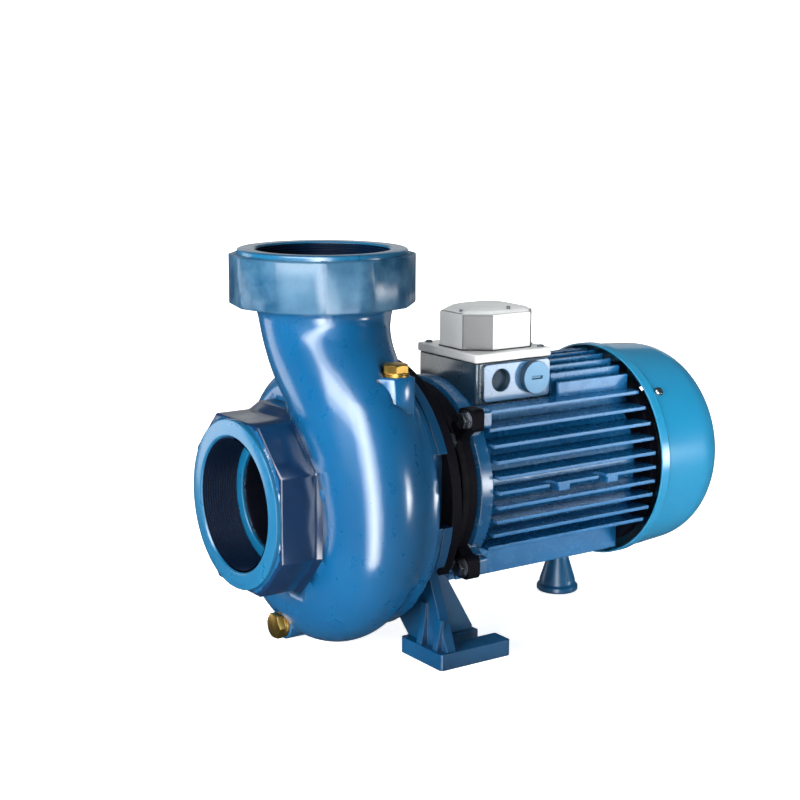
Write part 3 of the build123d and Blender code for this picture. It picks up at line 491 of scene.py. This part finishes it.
for name, ob in N.items():
    paint(ob, M[FINISH.get(name, slot_of[name])])
    soften(ob, 30.0)
    w = ob.modifiers.new("weld", "WELD")
    w.merge_threshold = 1e-5
    if BEVELS.get(name):
        d = ob.modifiers.new("planar", "DECIMATE")
        d.decimate_type = "DISSOLVE"
        d.angle_limit = math.radians(1.5)
        bevel(ob, BEVELS[name], 2, 40.0)


def ride(ob, mat):
    if mat is not None:
        paint(ob, mat)
    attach(ob, "root")
    return ob


def P(x, y=0.0, z=0.0):
    """Point from millimetres: x behind the suction face, y, z above the shaft axis."""
    return Vector((XF + x * 0.001, y * 0.001, AX + z * 0.001))


# ================================================================ volute casing
TOPZ = AX + 0.2076
DIS = P(88.0, 0.0, 207.6)


SOCK_AF, SOCK_LEG, SOCK_AF2, SOCK_LEG2, BOSS_AF = 142.5, 36.0, 154.0, 40.0, 151.0
PLUG_POLY = [(78.0, -91.0), (88.6, -106.5), (106.0, -107.5), (110.0, -104.0), (113.0, -78.0), (79.0, -76.0)]
PLUG_SIGN = 1.0


def casing_skin():
    """Casting with filled corners: concave joints are relaxed into fillets, outer edges only a little."""
    src = N["volute_casing"]
    ob = link(bpy.data.objects.new("casing_body", src.data.copy()))
    ob.modifiers.new("weld", "WELD").merge_threshold = 1e-5
    r = ob.modifiers.new("voxels", "REMESH")
    r.mode = "VOXEL"
    r.voxel_size = 0.0023
    bake(ob)
    me = ob.data
    n = len(me.vertices)
    co = np.zeros(n * 3)
    me.vertices.foreach_get("co", co)
    co = co.reshape(-1, 3)
    ed = np.zeros(len(me.edges) * 2, np.int64)
    me.edges.foreach_get("vertices", ed)
    ed = ed.reshape(-1, 2)
    a, b = ed[:, 0], ed[:, 1]
    deg = (np.bincount(a, minlength=n) + np.bincount(b, minlength=n)).astype(float)[:, None]
    keep = np.ones(n)
    keep[co[:, 0] > XF + 0.118] = 0.0
    joint = np.hypot(co[:, 0] - P(98.5).x, co[:, 1] + 0.093) < 0.026
    joint &= co[:, 2] > AX + 0.070
    root = (co[:, 0] < XF + 0.080) & (np.hypot(co[:, 1], co[:, 2] - AX) < 0.104)
    fill = np.where(joint, 0.12, np.where(root, 0.06, 0.60)) * keep
    for it in range(22):
        if it % 4 == 0:
            me.vertices.foreach_set("co", co.ravel())
            me.update()
            nr = np.zeros(n * 3)
            me.vertices.foreach_get("normal", nr)
            nr = nr.reshape(-1, 3)
        s = np.zeros((n, 3))
        for k in range(3):
            s[:, k] = np.bincount(a, co[b, k], n) + np.bincount(b, co[a, k], n)
        lap = s / np.maximum(deg, 1.0) - co
        h = (lap * nr).sum(1)
        wgt = np.where(h > 0.0, fill, (0.20 if it < 3 else 0.015) * keep)
        co = co + lap * wgt[:, None]
    # the cast faces of the socket and bosses lie just under their own crisp pieces
    ins = 0.0011
    dy, dz = co[:, 1], co[:, 2] - AX
    xx = (co[:, 0] - XF) * 1000.0
    af = np.interp(xx, [36.0, 47.0], [SOCK_AF, SOCK_AF2]) * 0.0005
    leg = np.interp(xx, [36.0, 47.0], [SOCK_LEG, SOCK_LEG2]) * 0.001
    q = np.maximum(np.maximum(abs(dy), abs(dz)) / (af - ins), (abs(dy) + abs(dz)) / (2.0 * af - leg - ins * 1.41))
    under = (xx < 66.0) & (np.hypot(dy, dz) > 0.060) & (q > 1.0) & (q < 1.10) & (keep > 0)
    f = np.where(under, 1.0 / np.maximum(q, 1e-6), 1.0)
    co[:, 1] *= f
    co[:, 2] = AX + dz * f
    ex, ey = co[:, 0] - DIS.x, co[:, 1]
    ang = np.degrees(np.arctan2(ey, ex)) % 30.0 - 15.0
    lim = (BOSS_AF * 0.5 - 1.1) * 0.001
    rr = np.hypot(ex, ey) * np.cos(np.radians(ang))
    under = (co[:, 2] > TOPZ - 0.0462) & (rr > lim)
    f = np.where(under, lim / np.maximum(rr, 1e-6), 1.0)
    co[:, 0] = DIS.x + ex * f
    co[:, 1] *= f
    low = (co[:, 2] < TOPZ - 0.0440) & (co[:, 2] > TOPZ - 0.0490) & (rr > lim - 0.012)
    co[:, 2] = np.where(low, TOPZ - 0.0438, co[:, 2])
    # plug boss: pulled in and down under its own piece
    inside = np.ones(n, bool)
    m = len(PLUG_POLY)
    for i in range(m):
        (x0, y0), (x1, y1) = PLUG_POLY[i], PLUG_POLY[(i + 1) % m]
        ln = math.hypot(x1 - x0, y1 - y0)
        d = ((x1 - x0) * (co[:, 1] * 1000.0 - y0) - (y1 - y0) * (xx - x0)) / ln
        inside &= d * PLUG_SIGN > -1.6
    zz = (co[:, 2] - AX) * 1000.0
    up = inside & (zz > 84.0) & (zz < 113.8)
    cx, cy = XF + 0.0970, -0.0900
    co[:, 0] = np.where(up, cx + (co[:, 0] - cx) * 0.84, co[:, 0])
    co[:, 1] = np.where(up, cy + (co[:, 1] - cy) * 0.84, co[:, 1])
    co[:, 2] = np.where(up, np.minimum(co[:, 2], AX + 0.1085), co[:, 2])
    ey, ez = co[:, 1] - 0.0120, co[:, 2] - AX + 0.1165
    rr = np.hypot(ey, ez)
    up = (rr < 0.0160) & (xx < 66.0) & (xx > 50.0)
    f = np.where(up, np.minimum(rr, 0.0120) / np.maximum(rr, 1e-6), 1.0)
    co[:, 1] = np.where(up, 0.0120 + ey * f, co[:, 1])
    co[:, 2] = np.where(up, AX - 0.1165 + ez * f, co[:, 2])
    co[:, 0] = np.where(up, np.maximum(co[:, 0], XF + 0.0552), co[:, 0])
    # room for the turned rings and the threads
    dy, dz = co[:, 1], co[:, 2] - AX
    rad = np.hypot(dy, dz)
    zone = (co[:, 0] < XF + 0.036) & (rad < 0.0610)
    f = np.where(zone & (rad > 1e-6), np.maximum(rad, 0.0582) / np.maximum(rad, 1e-6), 1.0)
    lip = (co[:, 0] < XF + 0.0040) & (rad > 0.0640)
    f = np.where(lip, np.minimum(rad, 0.0702) / np.maximum(rad, 1e-6), f)
    co[:, 1] *= f
    co[:, 2] = AX + (co[:, 2] - AX) * f
    co[:, 0] = np.where(rad < 0.0715, np.maximum(co[:, 0], XF + 0.0012), co[:, 0])
    ex, ey = co[:, 0] - DIS.x, co[:, 1]
    rad = np.hypot(ex, ey)
    zone = (co[:, 2] > TOPZ - 0.036) & (rad < 0.0610)
    f = np.where(zone & (rad > 1e-6), np.maximum(rad, 0.0582) / np.maximum(rad, 1e-6), 1.0)
    lip = (co[:, 2] > TOPZ - 0.0040) & (rad > 0.0640)
    f = np.where(lip, np.minimum(rad, 0.0702) / np.maximum(rad, 1e-6), f)
    co[:, 0] = DIS.x + (co[:, 0] - DIS.x) * f
    co[:, 1] *= f
    co[:, 2] = np.where(rad < 0.0715, np.minimum(co[:, 2], TOPZ - 0.0012), co[:, 2])
    me.vertices.foreach_set("co", co.ravel())
    me.update()
    me.materials.clear()
    # painted shade: the socket faces and bore mouth get the darker enamel, the top boss a darker mottled enamel, and
    # the bore and the inside of the neck a near-black, each standing in for the shade there
    for k in ("casing_paint", "socket_shade_paint", "boss_shade_paint", "bore_shade_dark"):
        me.materials.append(M[k])
    for p in me.polygons:
        p.use_smooth = True
        c = p.center
        q = p.normal
        rr = math.hypot(c.y, c.z - AX)
        if rr < 0.0700 and c.x < XF + 0.0400 and rr > 0.0600:
            p.material_index = 1
        elif rr < 0.0600 and XF + 0.0365 < c.x < XF + 0.120:
            p.material_index = 3
        elif rr < 0.0600 and c.x < XF + 0.0365:
            p.material_index = 1
        elif math.hypot(c.x - DIS.x, c.y) < 0.0575 and c.z > AX + 0.120 and q.x * (c.x - DIS.x) + q.y * c.y < 0.0 and abs(q.z) < 0.8:
            p.material_index = 3
        elif c.z > TOPZ - 0.0468:
            p.material_index = 2
    return ob


skin = ride(casing_skin(), None)
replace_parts(skin, "volute_casing")


def loft(name, loops, mat, bev=0.0012, segs=2, deg=20.0):
    """Closed ring of quads through the loops: the first and last loops are joined."""
    k = len(loops[0])
    verts = [v for lp in loops for v in lp]
    faces = []
    for j in range(len(loops)):
        a, b = j * k, ((j + 1) % len(loops)) * k
        for i in range(k):
            faces.append((a + i, a + (i + 1) % k, b + (i + 1) % k, b + i))
    ob = mesh_obj(name, verts, faces)
    bm = bmesh.new()
    bm.from_mesh(ob.data)
    bmesh.ops.recalc_face_normals(bm, faces=bm.faces)
    bm.to_mesh(ob.data)
    bm.free()
    bevel(ob, bev, segs, deg)
    ob.modifiers["bevel"].use_clamp_overlap = True
    bake(ob)
    soften(ob, 32.0)
    return ride(ob, mat)


def oct_loop(x, af, leg, r=None):
    a, b = af * 0.5, af * 0.5 - leg
    pts = [(b, a), (-b, a), (-a, b), (-a, -b), (-b, -a), (b, -a), (a, -b), (a, b)]
    out = []
    for i in range(8):
        (y0, z0), (y1, z1) = pts[i], pts[(i + 1) % 8]
        for t in (0.0, 1.0 / 3.0, 2.0 / 3.0):
            y, z = y0 + (y1 - y0) * t, z0 + (z1 - z0) * t
            if r:
                d = math.hypot(y, z)
                y, z = y * r / d, z * r / d
            out.append(P(x, y, z))
    return out


def gon_loop(z, rad, flat=True):
    out = []
    for i in range(12):
        a0, a1 = math.radians(30 * i), math.radians(30 * (i + 1))
        for t in (0.0, 1.0 / 3.0, 2.0 / 3.0):
            x = math.cos(a0) + (math.cos(a1) - math.cos(a0)) * t
            y = math.sin(a0) + (math.sin(a1) - math.sin(a0)) * t
            if not flat:
                d = math.hypot(x, y)
                x, y = x / d, y / d
            out.append(Vector((DIS.x + x * rad * 0.001, y * rad * 0.001, TOPZ - z * 0.001)))
    return out


# the socket faces carry the darker enamel that stands in for their shade
loft("socket_faces", [oct_loop(4.4, SOCK_AF, SOCK_LEG), oct_loop(36.0, SOCK_AF, SOCK_LEG), oct_loop(47.0, SOCK_AF2, SOCK_LEG2), oct_loop(67.6, SOCK_AF2, SOCK_LEG2),
                      oct_loop(67.6, 130.0, 36.0, 62.0), oct_loop(4.4, 130.0, 36.0, 62.0)], M["socket_shade_paint"], 0.0016)
BR = BOSS_AF * 0.5 / math.cos(math.radians(15.0))
# the discharge boss faces carry the darker mottled enamel that stands in for shade and reflections
loft("discharge_faces", [gon_loop(4.0, BR), gon_loop(46.0, BR), gon_loop(46.0, 63.0, False), gon_loop(4.0, 63.0, False)], M["boss_shade_paint"], 0.0014)


def z_solid(name, pts, z0, z1, mat, bev):
    k = len(pts)
    verts = [P(x, y, z0) for x, y in pts] + [P(x, y, z1) for x, y in pts]
    faces = [tuple(range(k)), tuple(range(k, 2 * k))] + [(i, (i + 1) % k, k + (i + 1) % k, k + i) for i in range(k)]
    ob = mesh_obj(name, verts, faces)
    bm = bmesh.new()
    bm.from_mesh(ob.data)
    bmesh.ops.recalc_face_normals(bm, faces=bm.faces)
    bm.to_mesh(ob.data)
    bm.free()
    bevel(ob, bev, 2, 20.0)
    bake(ob)
    soften(ob, 35.0)
    return ride(ob, mat)


z_solid("plug_boss_faces", PLUG_POLY, 76.0, 112.4, M["casing_paint"], 0.0013)
ride(lathe("drain_boss", [(0.0, 0.0), (0.0120, 0.0), (0.0129, 0.0009), (0.0129, 0.0240), (0.0, 0.0240)], P(53.6, 12.0, -116.5), (1, 0, 0), 48, 30.0, closed=False), M["casing_paint"])


def port_ring(name, origin, axis, depth):
    prof = [(0.0580, 0.0), (0.0698, 0.0), (0.0708, 0.0004), (0.0712, 0.0012), (0.0712, depth), (0.0580, depth), (0.0566, 0.0016)]
    # the rings carry the lighter enamel that stands in for the light on them
    return ride(lathe(name, prof, origin, axis, 128, 30.0), M["ring_lit_paint"])


port_ring("suction_ring", P(0), (1, 0, 0), 0.0048)
port_ring("discharge_ring", DIS, (0, 0, -1), 0.0052)


def thread(name, origin, axis, length, mat):
    """Pipe thread cut into the bore: a helical groove on a closed sleeve."""
    m = basis(origin, axis)
    pitch, minor, major, outer = 0.002309, 0.05515, 0.05648, 0.0580
    seg = 96
    turns = length / pitch
    rows = []
    steps = [(0.00, minor), (0.10, minor), (0.45, major), (0.60, major)]
    lines = []
    k = 0
    t = -1.0
    while t < turns + 1.0:
        for f, r in steps:
            lines.append((t + f, r))
        t += 1.0
    for u, r in lines:
        ring = []
        for i in range(seg + 1):
            z = (u + i / seg) * pitch
            rr = r
            if z < 0.0:
                z = 0.0
            if z > length:
                z = length
            ring.append(m @ Vector((rr * math.cos(2 * math.pi * i / seg), rr * math.sin(2 * math.pi * i / seg), z)))
        rows.append(ring)
    verts = [v for ring in rows for v in ring]
    w = seg + 1
    faces = []
    for j in range(len(rows) - 1):
        for i in range(seg):
            q = (j * w + i, j * w + i + 1, (j + 1) * w + i + 1, (j + 1) * w + i)
            if max((verts[q[0]] - verts[q[3]]).length, (verts[q[1]] - verts[q[2]]).length) < 1e-7:
                continue
            faces.append(q)
    base = len(verts)
    for z in (0.0, length):
        for i in range(w):
            verts.append(m @ Vector((outer * math.cos(2 * math.pi * i / seg), outer * math.sin(2 * math.pi * i / seg), z)))
    for i in range(seg):
        faces.append((base + i, base + i + 1, base + w + i + 1, base + w + i))
        faces.append((i, base + i, base + i + 1, i + 1))
        e = (len(rows) - 1) * w
        faces.append((e + i, e + i + 1, base + w + i + 1, base + w + i))
    ob = mesh_obj(name, verts, faces)
    bm = bmesh.new()
    bm.from_mesh(ob.data)
    bmesh.ops.remove_doubles(bm, verts=bm.verts, dist=1e-7)
    bmesh.ops.dissolve_degenerate(bm, edges=bm.edges, dist=1e-7)
    bmesh.ops.recalc_face_normals(bm, faces=bm.faces)
    bm.to_mesh(ob.data)
    bm.free()
    soften(ob, 25.0)
    return ride(ob, mat)


# the threads carry the dark enamel that stands in for the shade in the bore
thread("suction_thread", P(1.6), (1, 0, 0), 0.0324, M["thread_shade_paint"])
thread("discharge_thread", DIS - Vector((0, 0, 0.0016)), (0, 0, -1), 0.0324, M["thread_shade_paint"])
ride(lathe("suction_shoulder", [(0.0462, 0.0006), (0.0468, 0.0), (0.0578, 0.0), (0.0578, 0.0030), (0.0462, 0.0030)], P(34.0), (1, 0, 0), 96, 30.0), M["ring_lit_paint"])


# ================================================================ plugs, bolts, screws
def plug(name, node, origin, axis, af, h, x, rot):
    parts = [
        lathe("t1", [(0.0, 0.0), (0.0108, 0.0), (0.0109, 0.0003), (0.0109, 0.0012), (0.0104, 0.0016), (0.0, 0.0016)], origin, axis, 48, 30.0, closed=False, x=x),
        hexhead("t2", Vector(origin) + Vector(axis) * 0.0015, axis, af, h, x=x, rot=rot),
        lathe("t3", [(0.0, 0.0), (0.0082, 0.0), (0.0082, -0.010), (0.0, -0.010)], origin, axis, 32, 30.0, closed=False, x=x),
    ]
    ob = join(name, parts)
    soften(ob, 25.0)
    ride(ob, M["brass"])
    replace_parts(ob, node)
    return ob


plug("plug_top", "priming_plug", P(98.5, -93.0, 112.5 + 1.6), (0, 0, 1), 0.0190, 0.0066, (1, 0, 0), 0.0)
plug("plug_drain", "drain_plug", P(53.5 - 1.6, 12.0, -116.5), (-1, 0, 0), 0.0200, 0.0068, (0, 1, 0), 0.0)

EARS = [(85.0, 66.0), (-85.0, 66.0), (82.0, -62.0), (-82.0, -62.0)]
parts = []
for y, z in EARS:
    parts.append(hexhead("t", P(175.0, y, z), (-1, 0, 0), 0.0130, 0.0062, x=(0, 1, 0), rot=11.0))
    parts.append(lathe("t", [(0.0, 0.0), (0.0090, 0.0), (0.0090, 0.0008), (0.0, 0.0008)], P(175.4, y, z), (-1, 0, 0), 32, 30.0, closed=False))
    parts.append(lathe("t", [(0.0, 0.0), (0.0033, 0.0), (0.0033, 0.0200), (0.0, 0.0200)], P(174.6, y, z), (1, 0, 0), 24, 30.0, closed=False))
mb = join("motor_bolt_set", parts)
soften(mb, 25.0)
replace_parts(ride(mb, M["zinc"]), "motor_bolts")

parts = []
for x, y in ((225.0, 38.5), (293.5, -37.0)):
    o = P(x, y, 111.6)
    parts.append(lathe("t", [(0.0, 0.0), (0.0032, 0.0), (0.0032, 0.0009), (0.0024, 0.0018), (0.0, 0.0019)], o, (0, 0, 1), 28, 30.0, closed=False))
ls = join("lid_screw_set", parts)
soften(ls, 25.0)
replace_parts(ride(ls, M["zinc"]), "terminal_lid_screws")

parts = []
for y, z in ((-75.0, 65.0), (75.0, 65.0), (0.0, -99.2)):
    ln = math.hypot(y, z)
    d = Vector((0, y / ln, z / ln))
    o = P(243.0 + 160.0, 0, 0) + d * 0.0998
    parts.append(lathe("t", [(0.0, 0.0), (0.0042, 0.0), (0.0042, 0.0008), (0.0034, 0.0020), (0.0016, 0.0025), (0.0, 0.0026)], o, d, 32, 30.0, closed=False))
    parts.append(lathe("t", [(0.0, 0.0), (0.0025, 0.0), (0.0025, -0.0038), (0.0, -0.0038)], o, d, 20, 30.0, closed=False))
cs = join("cover_screw_set", parts)
soften(cs, 25.0)
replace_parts(ride(cs, M["bright_zinc"]), "fan_cover_screws")


# ================================================================ terminal box
def dome_outline(grow):
    pts = [(221, -17), (242, -34), (284, -34), (299, -17), (299, 17), (284, 34), (242, 34), (221, 17)]
    k = 1.0 + grow / 34.0
    return [((260.0 + (x - 260.0) * k) * 0.001 + XF, y * k * 0.001) for x, y in pts]


def z_prism(name, outline, z0, z1, bev=0.0):
    n = len(outline)
    verts = [(u, v, z0) for u, v in outline] + [(u, v, z1) for u, v in outline]
    faces = [tuple(reversed(range(n))), tuple(range(n, 2 * n))] + [(i, (i + 1) % n, n + (i + 1) % n, n + i) for i in range(n)]
    ob = mesh_obj(name, verts, faces)
    if bev:
        bevel(ob, bev, 2, 30.0)
        bake(ob)
    soften(ob, 30.0)
    return ob


DOME_Z = AX + 0.1116
ride(z_prism("dome_seal", dome_outline(0.5), DOME_Z - 0.0004, DOME_Z + 0.0009, 0.0002), M["rubber"])

# painted shade: the chamfer facets of the lid dome take the dark grey copy of the lid plastic
dome = N["terminal_lid_dome"]
dome.data.materials.append(M["lid_painted_shade"])
for p in dome.data.polygons:
    q = p.normal
    if abs(q.z) < 0.3 and 0.35 < abs(q.x) < 0.9:
        p.material_index = 1
# painted light: the near face of the box base gets the lighter enamel that stands in for the light on it
basep = N["terminal_box_base"]
basep.data.materials.append(M["panel_lit_paint"])
for p in basep.data.polygons:
    if p.center.y < -0.0440 and p.normal.y < -0.5:
        p.material_index = 1

# painted shade: the knockout sits in its recess and is painted dark for the shade there
small = N["cable_entry_knockout"]
paint(small, M["entry_shade_dark"])
# painted shade: the sides of the large blank and the wall of the small recess are painted dark for the shade there
big = N["cable_entry_plug"]
big.data.materials.append(M["entry_shade_dark"])
for p in big.data.polygons:
    if abs(p.normal.y) < 0.5:
        p.material_index = 1

# two small pins on the lid crown
parts = []
for x, y, z in ((225.5, -9.0, 144.4), (264.5, -26.5, 147.0)):
    parts.append(lathe("t", [(0.0, -0.0010), (0.0016, -0.0010), (0.0016, 0.0016), (0.0011, 0.0022), (0.0, 0.0022)], P(x, y, z), (0, 0, 1), 20, 30.0, closed=False))
pins = join("lid_pins", parts)
soften(pins, 25.0)
ride(pins, M["zinc"])

# ================================================================ camera
cam_data = bpy.data.cameras.new("camera")
cam = link(bpy.data.objects.new("camera", cam_data))
AZ, EL, ROLL = math.radians(-34.55), math.radians(11.07), math.radians(0.27)
right = Vector((math.cos(AZ), math.sin(AZ), 0))
fh = Vector((-math.sin(AZ), math.cos(AZ), 0))
fwd = fh * math.cos(EL) + Vector((0, 0, -math.sin(EL)))
up = right.cross(fwd)
c, s = math.cos(ROLL), math.sin(ROLL)
r2 = right * c + up * s
u2 = up * c - right * s
rot = Matrix((r2, u2, -fwd)).transposed().to_4x4()
rot.translation = Vector((-0.78164, -1.14509, 0.47633))
cam.matrix_world = rot
cam_data.lens = 36.0 * 1621.6 / 800.0
cam_data.sensor_width = 36.0
cam_data.clip_start = 0.05
cam_data.clip_end = 60.0
bpy.context.scene.camera = cam

# ================================================================ floor with a sweep behind, light
prof = [(-4.0, 0.0), (-2.0, 0.0), (0.0, 0.0), (1.6, 0.0)]
for i in range(1, 13):
    t = math.radians(90.0 * i / 12)
    prof.append((1.6 + 1.2 * math.sin(t), 1.2 - 1.2 * math.cos(t)))
prof += [(2.8, 2.4), (2.8, 3.6)]
verts, faces = [], []
for u in (-4.5, -1.5, 1.5, 4.5):
    for v, z in prof:
        q = right * u + fh * v
        verts.append((q.x, q.y, z))
k = len(prof)
for j in range(3):
    for i in range(k - 1):
        faces.append((j * k + i, (j + 1) * k + i, (j + 1) * k + i + 1, j * k + i + 1))
sweep = [f for f in faces if min(verts[i][2] for i in f) > 1e-6 or max(verts[i][2] for i in f) > 1e-6]
flat = [f for f in faces if max(verts[i][2] for i in f) <= 1e-6]
fl = mesh_obj("floor", verts, flat)
sw = mesh_obj("backdrop", verts, sweep)
for o in (fl, sw):
    for p in o.data.polygons:
        p.use_smooth = True
fl.visible_glossy = False
sw.visible_glossy = False
fm = NT("floor_mat")
fm.link(fm.ramp(fm.noise(3.0, 2.0, 0.5), [(0.3, (0.88, 0.88, 0.89)), (0.7, (0.90, 0.90, 0.90))]), fm.p.inputs["Base Color"])
fm.link(fm.rng(fm.noise(20.0, 3.0, 0.5), 0.3, 0.7, 0.60, 0.70), fm.p.inputs["Roughness"])
fm.link(fm.bump(fm.noise(260.0, 3.0, 0.5), 0.03, 0.0002), fm.p.inputs["Normal"])
fm.p.inputs["Specular IOR Level"].default_value = 0.2
fm.p.inputs["Emission Color"].default_value = (1.0, 1.0, 1.0, 1.0)
fm.p.inputs["Emission Strength"].default_value = 0.80
paint(fl, fm.mat)
paint(sw, fm.mat)

world = bpy.data.worlds.new("studio")
bpy.context.scene.world = world
world.use_nodes = True
bg = world.node_tree.nodes["Background"]
bg.inputs[0].default_value = (0.55, 0.80, 1.0, 1.0)
bg.inputs[1].default_value = 0.07


def area(name, loc, target, w, h, lum, spread=180.0, glossy=True, diffuse=True, color=(1, 1, 1)):
    """Rectangular softbox; lum is the radiance at its middle, spread narrows its beam to a soft blob."""
    d = bpy.data.lights.new(name, "AREA")
    d.shape = "RECTANGLE"
    d.size, d.size_y = w, h
    k = 1.0
    if spread < 179.0:
        a = math.radians(spread * 0.5)
        k = (math.tan(a) - a) / math.tan(a)
        d.spread = math.radians(spread)
    d.energy = lum * math.pi * w * h * k
    d.color = color
    o = link(bpy.data.objects.new(name, d))
    o.location = loc
    o.rotation_euler = (Vector(target) - Vector(loc)).to_track_quat("-Z", "Y").to_euler()
    o.visible_glossy = glossy
    o.visible_diffuse = diffuse
    return o


def around(az, el, dist, mid=(0.0, 0.0, 0.15)):
    a, e = math.radians(az), math.radians(el)
    return (mid[0] + dist * math.cos(e) * math.cos(a), mid[1] + dist * math.cos(e) * math.sin(a), mid[2] + dist * math.sin(e))


MID = (0.0, 0.0, 0.15)
# highlight strips: seen in the enamel only
for i, (w, lum) in enumerate(((0.42, 2.8), (0.86, 2.6), (1.34, 2.0))):
    q = around(-128.0, 0.0, 2.10 + 0.02 * i)
    area("strip_%d" % i, q, MID, w, 4.0, lum, diffuse=False)
for i, (w, h, lum) in enumerate(((1.25, 0.56, 3.2), (1.60, 1.15, 2.8))):
    area("upper_%d" % i, around(-160.0, 37.0, 2.2 + 0.02 * i), MID, w, h, lum, diffuse=False)
area("left_edge", around(120.0, 1.0, 2.1), MID, 0.80, 1.05, 1.25, diffuse=False)
area("side", around(-49.0, -4.0, 2.1, (0.14, -0.1, 0.15)), (0.14, -0.1, 0.15), 0.74, 1.20, 12.0, spread=23.0, diffuse=False)
area("back_card", around(56.0, 11.0, 2.3), MID, 2.2, 0.75, 0.42, diffuse=False)
# lamps that only light the paint
area("fill_left", around(-165.0, 12.0, 2.4), MID, 1.2, 1.0, 31.0, glossy=False)
area("fill_motor", around(-68.0, 3.0, 1.7, (0.28, -0.1, 0.15)), (0.30, -0.1, 0.15), 0.5, 0.5, 84.0, spread=22.0, glossy=False)
area("fill_box", around(-136.0, 33.0, 2.2, (0.10, -0.02, 0.27)), (0.10, -0.02, 0.27), 0.3, 0.3, 190.0, spread=10.0, glossy=False)
bk = fh * 1.3
area("back_floor", (bk.x, bk.y, 3.4), (bk.x * 1.4, bk.y * 1.4, 0.0), 4.0, 2.0, 2.4, glossy=False)
for o in bpy.data.objects:
    if o.type == "LIGHT":
        o.visible_camera = False

sc = bpy.context.scene
sc.view_settings.view_transform = "Standard"
sc.view_settings.look = "None"
sc.view_settings.exposure = 0.0
